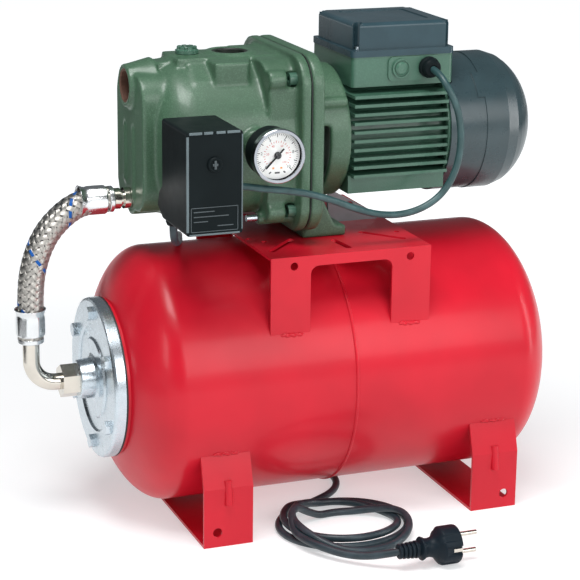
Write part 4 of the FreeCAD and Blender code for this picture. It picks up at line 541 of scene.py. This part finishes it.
def make_braid():
    """Wire strands wound both ways round the hose, each over and under the ones it meets."""
    stations = evenly(line_points(HOSE_ROUTE), BRAID_STEP)
    build = bmesh.new()
    across_map = build.loops.layers.uv.new("across")
    for turn in (1, -1):
        for strand in range(BRAID_STRANDS):
            tracer = turn == 1 and strand == TRACER_STRAND
            rows = strand_rows(build, stations, turn, strand)
            for before, after in zip(rows, rows[1:]):
                for column in range(BRAID_COLUMNS):
                    follow = column + 1
                    face = build.faces.new((before[column], after[column], after[follow], before[follow]))
                    face.smooth = True
                    face.material_index = int(tracer and 0 < column < BRAID_COLUMNS - 1)
                    for loop, edge in zip(face.loops, (column, column, follow, follow)):
                        loop[across_map].uv = (edge / BRAID_COLUMNS, 0)
    mesh = bpy.data.meshes.new("hose_braid")
    build.to_mesh(mesh)
    build.free()
    mesh.materials.append(STRAND)
    mesh.materials.append(TRACER)
    braid = bpy.data.objects.new("hose_braid", mesh)
    bpy.context.scene.collection.objects.link(braid)
    thick = braid.modifiers.new("wire", "SOLIDIFY")
    thick.thickness = BRAID_THICK
    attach(braid, ROOT)


def strand_material():
    """Each strand is a band of fine parallel wires."""
    paint = Paint("braid_strand", (0.52, 0.50, 0.465), 0.34, metallic=1.0)
    place = paint.node("ShaderNodeUVMap", uv_map="across")
    wires = paint.node("ShaderNodeTexWave", Scale=2.2, bands_direction="X")
    paint.link(place.outputs["UV"], wires.inputs["Vector"])
    # Darker where the bump makes grooves between the wires: painted shade in the grooves.
    paint.tint(paint.ramp(wires.outputs["Fac"], 0.4, 0.0), (0.42, 0.40, 0.37))
    paint.vary_roughness(paint.noise(300, 3), 0.22, 0.38)
    paint.bump(wires.outputs["Fac"], 0.00018, 0.8)
    return paint.material


STRAND = strand_material()


# ---- pieces that replace or finish CAD nodes --------------------------------------


def add_piece(name, build, materials, body=ROOT):
    """Makes an object of a finished bmesh and hangs it on a body."""
    mesh = bpy.data.meshes.new(name)
    bmesh.ops.recalc_face_normals(build, faces=build.faces)
    build.to_mesh(mesh)
    build.free()
    for material in materials:
        mesh.materials.append(material)
    piece = bpy.data.objects.new(name, mesh)
    bpy.context.scene.collection.objects.link(piece)
    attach(piece, body)
    return piece


def frame_about(axis):
    """Two directions square to an axis; the first points to the front or up."""
    ahead = Vector(axis).normalized()
    first = FRONT if abs(ahead.y) < 0.9 else UP
    return ahead, first, ahead.cross(first)


def lathe(build, profile, origin, axis, shape=None, steps=64):
    """Turns a closed profile of (along, radius) in mm; shape(along, angle) scales the radius."""
    ahead, first, second = frame_about(axis)
    rings = []
    for along, radius in profile:
        ring = []
        for step in range(steps):
            angle = 2 * math.pi * step / steps
            wide = radius * (shape(along, angle) if shape else 1)
            spoke = first * math.cos(angle) + second * math.sin(angle)
            ring.append(build.verts.new(origin + (ahead * along + spoke * wide) / 1000))
        rings.append(ring)
    for before, after in zip(rings, rings[1:] + rings[:1]):
        for step in range(steps):
            follow = (step + 1) % steps
            face = build.faces.new((before[step], before[follow], after[follow], after[step]))
            face.smooth = True


def slab(build, low, high):
    """A box between two corners in metres."""
    corners = [Vector((x, y, z)) for x in (low.x, high.x) for y in (low.y, high.y) for z in (low.z, high.z)]
    verts = [build.verts.new(corner) for corner in corners]
    for quad in ((0, 1, 3, 2), (4, 6, 7, 5), (0, 4, 5, 1), (2, 3, 7, 6), (0, 2, 6, 4), (1, 5, 7, 3)):
        build.faces.new([verts[corner] for corner in quad])


def flats(count, start, end):
    """A shape for lathe: a polygon of that many flats between two places along the axis."""
    half = math.pi / count
    across_flats = 0.955

    def shape(along, angle):
        if not start < along < end:
            return 1
        turn = (angle + half) % (2 * half) - half
        return min(1, across_flats / math.cos(turn))

    return shape


def make_ferrules():
    """Crimped sleeves: a beaded end on the pipe, pressed flats and a flared rim on the hose."""
    low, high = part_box("hose_ferrules")
    profile = [
        (0, 9.2),
        (0, 12.6),
        (0.8, 13.6),
        (4.6, 13.6),
        (5.4, 12.7),
        (7.2, 12.7),
        (8.4, 14.6),
        (10, 15.1),
        (26, 15.1),
        (29, 14.4),
        (31.5, 14.6),
        (34, 15.6),
        (36, 16.4),
        (36, 15.2),
        (33, 13.8),
        (8, 13.7),
        (8, 9.2),
    ]
    rim = 0.015
    pressed = flats(8, 9, 27)
    build = bmesh.new()
    lathe(build, profile, Vector((low.x + rim, AXIS_Y, low.z)), UP, pressed, 96)
    lathe(build, profile, Vector((high.x, AXIS_Y, high.z - rim)), (-1, 0, 0), pressed, 96)
    ferrules = add_piece("crimped_ferrules", build, [FERRULE])
    break_edges(ferrules, 0.0003)
    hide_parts("hose_ferrules")


def make_priming_plug():
    """A green plug whose crown is notched for a wrench."""
    low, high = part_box("priming_plug")
    middle = box_middle(low, high)
    tall = (high.z - low.z) * 1000
    crown = tall - 2.6

    def notches(along, angle):
        return 1 if along < crown or math.cos(8 * angle) > -0.1 else 0.74

    shank = [(0, 0.01), (0, 7.9), (tall - 7, 7.9)]
    collar = [(tall - 7, 12), (tall - 3.6, 12), (tall - 3, 10.6)]
    top = [(tall - 2.5, 10.4), (tall - 0.4, 10.4), (tall, 9.8)]
    recess = [(tall, 6.2), (tall - 2.4, 5.8), (tall - 2.4, 0.01)]
    build = bmesh.new()
    lathe(build, shank + collar + top + recess, Vector((middle.x, middle.y, low.z)), UP, notches, 128)
    plug = add_piece("notched_priming_plug", build, [GREEN_SMOOTH], "filler_plug")
    break_edges(plug, 0.0003)
    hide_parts("priming_plug")


def make_port_threads():
    """Cut threads in the two large ports: the suction side has rusted."""
    mounts = {mount["name"]: mount for mount in frame["record"]["mounts"]}
    # Each mount's point lies this far inside its port's mouth.
    ports = (("suction_port", RUST, 0.014), ("delivery_port", DARK_THREAD, 0.0096))
    crest, root, pitch = 14.7, 15.8, 2.2
    for port, material, depth in ports:
        inward = -Vector(mounts[port]["axis"])
        mouth = Vector(mounts[port]["pos_m"]) - inward * depth
        thread = [(1.6, 19.5), (0.9, 18.4), (0.9, 16.6)]
        for turn in range(4):
            thread += [(2 + pitch * turn, crest), (3.1 + pitch * turn, root)]
        thread += [(11.5, crest), (11.5, 17.6)]
        build = bmesh.new()
        lathe(build, thread, mouth, inward)
        add_piece(port + "_thread", build, [material])


def raised(build, front, proud, left, right, bottom, top):
    """A flat bar that stands proud of a front face and is rooted 1 mm behind it."""
    slab(build, Vector((left, front - proud, bottom)), Vector((right, front + 0.001, top)))


def make_switch_rim(low, high):
    """Pale bars round the cover's front, a painted highlight on its edges: two sides, a foot and a broken
    top.
    """
    proud, rim, corner, inset = 0.0009, 0.0026, 0.004, 0.003
    wide = high.x - low.x
    build = bmesh.new()
    raised(build, low.y, proud, low.x, low.x + rim, low.z + corner, high.z - corner)
    raised(build, low.y, proud, high.x - rim * 0.5, high.x, low.z + corner, high.z - corner)
    for start, end in ((0.05, 0.28), (0.31, 0.47), (0.53, 0.69), (0.72, 0.95)):
        raised(build, low.y, proud, low.x + wide * start, low.x + wide * end, high.z - rim, high.z)
    raised(build, low.y, proud, low.x + inset, high.x - inset, low.z, low.z + rim * 0.7)
    break_edges(add_piece("switch_rim_highlight", build, [EDGE_HIGHLIGHT_PAINT]), 0.0004)


def make_switch_plate(low, high):
    """A frame with four plain lines in it, where a plate would be."""
    wide, tall = high.x - low.x, high.z - low.z
    left, right = low.x + 0.08 * wide, high.x - 0.08 * wide
    bottom, top = low.z + 0.035 * tall, low.z + 0.275 * tall
    line, proud, row_proud = 0.0007, 0.0004, 0.0003
    build = bmesh.new()
    for rail in (bottom, top - line):
        raised(build, low.y, proud, left, right, rail, rail + line)
    for post in (left, right - line):
        raised(build, low.y, proud, post, post + line, bottom, top)
    for row, (start, end) in enumerate(((0.06, 0.5), (0.06, 0.8), (0.06, 0.36), (0.56, 0.9))):
        height = bottom + (top - bottom) * (0.8 - 0.2 * row)
        begin, finish = left + (right - left) * start, left + (right - left) * end
        raised(build, low.y, row_proud, begin, finish, height, height + line * 1.4)
    break_edges(add_piece("switch_plate_lines", build, [LINE_GREY]), 0.0001)


def make_switch_knob():
    """The cover's screw: a dished knob with a crossed slot."""
    low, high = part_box("cover_screw")
    middle = box_middle(low, high)
    centre = Vector((middle.x, low.y, middle.z))
    shank = [(30, 0.01), (30, 2.4), (2.9, 2.4)]
    knob = [(2.9, 7.4), (0.9, 7.4), (0, 6.6), (0, 5), (0.9, 4.4), (0.9, 0.01)]
    build = bmesh.new()
    lathe(build, shank + knob, centre, -FRONT)
    screw = add_piece("slotted_knob", build, [BLACK])
    break_edges(screw, 0.0003)
    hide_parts("cover_screw")
    build = bmesh.new()
    for half_wide, half_tall, proud in ((0.0011, 0.0042, 0.0005), (0.0026, 0.0012, 0.0002)):
        sides = (centre.x - half_wide, centre.x + half_wide)
        ends = (centre.z - half_tall, centre.z + half_tall)
        raised(build, centre.y, proud, *sides, *ends)
    break_edges(add_piece("knob_slot", build, [LINE_GREY]), 0.0002)


def dial_text(build, text, middle, size):
    """Adds a number, flat on the dial, centred on a point."""
    data = bpy.data.curves.new("number", "FONT")
    data.body = text
    data.size = size
    data.align_x = "CENTER"
    data.align_y = "CENTER"
    helper = bpy.data.objects.new("number", data)
    mesh = bpy.data.meshes.new_from_object(helper)
    mesh.transform(Matrix.Translation(middle) @ Matrix.Rotation(math.pi / 2, 4, "X"))
    build.from_mesh(mesh)
    bpy.data.objects.remove(helper)
    bpy.data.curves.remove(data)
    bpy.data.meshes.remove(mesh)


def dial_way(angle):
    """The direction on the dial at an angle clockwise from straight down."""
    return Vector((-math.sin(angle), 0, -math.cos(angle)))


def dial_mark(build, middle, angle, start, end, width):
    """A flat mark along a radius of the dial."""
    out = dial_way(angle)
    side = Vector((out.z, 0, -out.x)) * width / 2
    corners = (out * start - side, out * end - side, out * end + side, out * start + side)
    build.faces.new([build.verts.new(middle + corner) for corner in corners])


def make_dial():
    """Two printed scales over 270 degrees: black outside and red inside."""
    low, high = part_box("gauge_dial")
    centre = box_middle(low, high)
    ink_gap = 0.00006
    middle = Vector((centre.x, low.y - ink_gap, centre.z))
    black, red, amber = bmesh.new(), bmesh.new(), bmesh.new()
    first, sweep, steps = math.radians(45), math.radians(270), 50
    for step in range(steps + 1):
        angle = first + sweep * step / steps
        start, thick = (0.0198, 0.0004) if step % 5 else (0.0182, 0.0008)
        dial_mark(black, middle, angle, start, 0.0216, thick)
        if step % 2 == 0:
            dial_mark(red, middle, angle, 0.0126, 0.0140 if step % 4 else 0.0148, 0.0005)
    for number in range(0, 11, 2):
        out = dial_way(first + sweep * number / 10)
        dial_text(black, str(number), middle + out * 0.0166, 0.0042)
        dial_text(red, str(number * 10), middle + out * 0.0102, 0.0030)
    for side in (-1, 1):
        dial_mark(amber, middle + Vector((side * 0.0042, 0, -0.0125)), 0, -0.0009, 0.0009, 0.0022)
        dial_mark(black, middle + Vector((side * 0.0075, 0, -0.0168)), side * 0.6, -0.0007, 0.0007, 0.0026)
    dial_mark(black, middle + Vector((0, 0, -0.0172)), 0, -0.0008, 0.0008, 0.0052)
    add_piece("dial_black", black, [INK])
    add_piece("dial_red", red, [RED_INK])
    add_piece("dial_amber", amber, [AMBER])


def make_needle_cap():
    """The round cap over the needle's hub, which turns with it."""
    dial_low, dial_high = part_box("gauge_dial")
    middle = box_middle(dial_low, dial_high)
    needle_low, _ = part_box("gauge_needle")
    hub = Vector((middle.x, needle_low.y + 0.0012, middle.z))
    build = bmesh.new()
    lathe(build, [(0, 0.01), (0, 3.6), (-1.4, 3.4), (-1.9, 2.6), (-1.9, 0.01)], hub, -FRONT, steps=32)
    add_piece("needle_cap", build, [INK], "needle")


def make_plug():
    """The plug: ribbed strain relief, flared collar, waist and a round body with an earth groove."""
    low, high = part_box("plug_body")
    middle = box_middle(low, high)
    start = Vector((low.x, middle.y, middle.z))
    wide = (high.z - low.z) * 500
    relief = [(0, 4.1), (0, 6.6)]
    for rib in range(5):
        here = 0.2 + 4.4 * rib
        more = 0.35 * rib
        relief += [(here, 7.0 + more), (here + 0.5, 7.6 + more), (here + 2.4, 7.6 + more)]
        relief += [(here + 2.9, 7.0 + more), (here + 3.0, 5.6 + more), (here + 4.2, 5.6 + more)]
    collar = [(23, 8.4), (24, 11.6), (25, 12.2), (27, 11.4), (29, 10), (33, 9.6)]
    flare = [(37, 10.6), (40, 13), (42, 16.4)]
    body = [(44, wide - 1), (46, wide), (56, wide), (61.4, wide), (63.2, wide - 0.6), (64, wide - 2)]
    face = [(64, 15.5), (62.6, 15), (62.6, 0.01)]
    bore = [(20, 0.01), (20, 4.1)]

    def shape(along, angle):
        if along > 47 and abs(math.cos(angle)) > 0.7 and abs(math.sin(angle)) * wide < 4.2:
            return 0.84
        if 42 < along < 57 and 0.55 < abs(math.sin(angle)) < 0.8:
            return 0.93
        return 1

    build = bmesh.new()
    lathe(build, relief + collar + flare + body + face + bore, start, (1, 0, 0), shape, 96)
    moulding = add_piece("moulded_plug", build, [PLUG])
    break_edges(moulding, 0.0005, 40)
    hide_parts("plug_body")
    clip_half = Vector((0.008, 0.0004, 0.0018))
    build = bmesh.new()
    for side in (-1, 1):
        clip = start + Vector((0.0555, side * wide * 0.00085, 0))
        slab(build, clip - clip_half, clip + clip_half)
    clips = add_piece("earth_clips", build, [NICKEL])
    break_edges(clips, 0.0002)
    return [moulding, frame["nodes"]["plug_pins"], clips]


def make_welds():
    """Short weld beads under the bracket's tabs and over the feet."""
    beads, toe = 9, 0.0012
    spots = []
    for foot in ("left_foot", "right_foot"):
        low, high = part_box(foot)
        spots.append(((low.x + high.x) / 2, high.z + toe, 0.011))
    low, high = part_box("pump_bracket")
    for share in (0.13, 0.87):
        spots.append((low.x + (high.x - low.x) * share, low.z - toe, 0.009))
    tank_low, tank_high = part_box("tank_shell")
    axis_height = (tank_low.z + tank_high.z) / 2
    radius = (tank_high.z - tank_low.z) / 2 - 0.0016
    stretch = Matrix.Diagonal((1.35, 0.55, 0.8, 1))
    build = bmesh.new()
    for x, z, half in spots:
        for bead in range(beads):
            share = 2 * bead / (beads - 1) - 1
            rise = z + 0.0009 * math.sin(bead * 2.3)
            depth = math.sqrt(radius**2 - (rise - axis_height) ** 2)
            place = Vector((x + share * half, AXIS_Y - depth, rise))
            size = 0.0021 + 0.0005 * math.sin(bead * 1.7)
            matrix = Matrix.Translation(place) @ stretch
            bmesh.ops.create_icosphere(build, subdivisions=2, radius=size, matrix=matrix)
    for face in build.faces:
        face.smooth = True
    add_piece("weld_beads", build, [RED])


# ---- camera, light and floor ---------------------------------------------------

CAMERA_YAW = math.radians(21.34)
CAMERA_PITCH = math.radians(16.12)
CAMERA_ROLL = math.radians(0.70)
CAMERA_PLACE = (-781.1, -1923.5, 822.2)
CAMERA_LENS = 124.2
CAMERA_SENSOR = 36
# The paper's own glow near the set and far from it, and the distances between which it changes.
GLOW_NEAR = 0.48
GLOW_FAR = 0.9
GLOW_START = 0.45
GLOW_END = 1.5
PAPER_REACH = 30
# Upright card: half its width, its height, its place and the way it is turned.
CARD_HALF = 0.36
CARD_HEIGHT = 0.9
CARD_PLACE = (-1.08, 0.31, 0)
CARD_TURN = math.radians(70)
# Soft boxes: name, place, what they point at, width, height and watts.
SOFTBOXES = (
    ("front", (0.55, -2.3, 1.25), (0.05, 0, 0.25), 1.7, 1.3, 27),
    ("top", (-0.35, -0.5, 2.1), (0, 0, 0.3), 1.1, 0.9, 37),
    ("strip", (1.9, -0.9, 0.7), (0.2, 0, 0.35), 0.35, 1.5, 13),
    ("left", (-2.2, -1.0, 1.1), (0, 0, 0.25), 0.5, 1.0, 8),
)


def make_camera():
    """A long lens from the front left, slightly above."""
    yaw, pitch, roll = CAMERA_YAW, CAMERA_PITCH, CAMERA_ROLL
    forward = Vector((math.sin(yaw) * math.cos(pitch), math.cos(yaw) * math.cos(pitch), -math.sin(pitch)))
    level = forward.cross(UP).normalized()
    square = level.cross(forward)
    right = level * math.cos(roll) + square * math.sin(roll)
    up = square * math.cos(roll) - level * math.sin(roll)
    data = bpy.data.cameras.new("camera")
    data.lens = CAMERA_LENS
    data.sensor_width = CAMERA_SENSOR
    camera = bpy.data.objects.new("camera", data)
    bpy.context.scene.collection.objects.link(camera)
    turn = Matrix((right, up, -forward)).transposed()
    camera.matrix_world = Matrix.Translation(at(*CAMERA_PLACE)) @ turn.to_4x4()
    bpy.context.scene.camera = camera


def softbox(name, place, target, width, height, power):
    data = bpy.data.lights.new(name, "AREA")
    data.shape = "RECTANGLE"
    data.size = width
    data.size_y = height
    data.energy = power
    light = bpy.data.objects.new(name, data)
    light.location = place
    light.rotation_euler = (Vector(target) - Vector(place)).to_track_quat("-Z", "Y").to_euler()
    bpy.context.scene.collection.objects.link(light)


def level_card(name, low_x, high_x, low_y, high_y, height=0.0):
    """A level sheet with its sides along and across the camera's view."""
    corners = [(low_x, low_y), (high_x, low_y), (high_x, high_y), (low_x, high_y)]
    turn = Matrix.Rotation(-CAMERA_YAW, 3, "Z")
    mesh = bpy.data.meshes.new(name)
    mesh.from_pydata([turn @ Vector((x, y, height)) for x, y in corners], [], [(0, 1, 2, 3)])
    card = bpy.data.objects.new(name, mesh)
    bpy.context.scene.collection.objects.link(card)
    return card


def make_floor():
    """White paper that glows more strongly away from the set, so its shadows stay near it."""
    floor = level_card("floor", -PAPER_REACH, PAPER_REACH, -PAPER_REACH, PAPER_REACH)
    paper = Paint("floor_paper", (0.6, 0.6, 0.6), 0.9, specular=0.1)
    place = paper.node("ShaderNodeTexCoord")
    distance = paper.node("ShaderNodeVectorMath", operation="LENGTH")
    paper.link(place.outputs["Object"], distance.inputs[0])
    glow = paper.fade(distance.outputs["Value"], (GLOW_START, GLOW_END), (GLOW_NEAR, GLOW_FAR))
    paper.link(glow, paper.shader.inputs["Emission Strength"])
    paper.shader.inputs["Emission Color"].default_value = (0.97, 0.99, 1, 1)
    floor.data.materials.append(paper.material)


def make_cards():
    """Black cards that only show in reflections: glossy parts need something dark to reflect."""
    black = Paint("card_black", (0.01, 0.01, 0.011), 0.9, specular=0.0).material
    off_paper = 0.001
    left = level_card("left_card", -9, -0.8, -1.5, 2.6, off_paper)
    right = level_card("right_card", 2.0, 9, -1.5, 6, off_paper)
    upright = level_card("upright_card", -CARD_HALF, CARD_HALF, 0, CARD_HEIGHT)
    upright.location = CARD_PLACE
    upright.rotation_euler = (math.radians(90), 0, CARD_TURN + CAMERA_YAW)
    for card in (left, right, upright):
        card.visible_camera = False
        card.visible_diffuse = False
        card.visible_shadow = False
        card.data.materials.append(black)


def make_studio():
    """Soft boxes, a dim surround, the paper and the black cards."""
    world = bpy.data.worlds.new("studio")
    world.use_nodes = True
    surround = world.node_tree.nodes["Background"]
    surround.inputs["Color"].default_value = (0.86, 0.93, 1, 1)
    surround.inputs["Strength"].default_value = 0.16
    bpy.context.scene.world = world
    bpy.context.scene.view_settings.view_transform = "Standard"
    for box in SOFTBOXES:
        softbox(*box)
    make_floor()
    make_cards()


# ---- building the set ------------------------------------------------------------

dress_nodes()
make_camera()
make_cords()
make_braid()
make_ferrules()
make_priming_plug()
make_port_threads()
switch_low, switch_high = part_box("switch_cover")
make_switch_rim(switch_low, switch_high)
make_switch_plate(switch_low, switch_high)
make_switch_knob()
make_dial()
make_needle_cap()
make_welds()
make_studio()
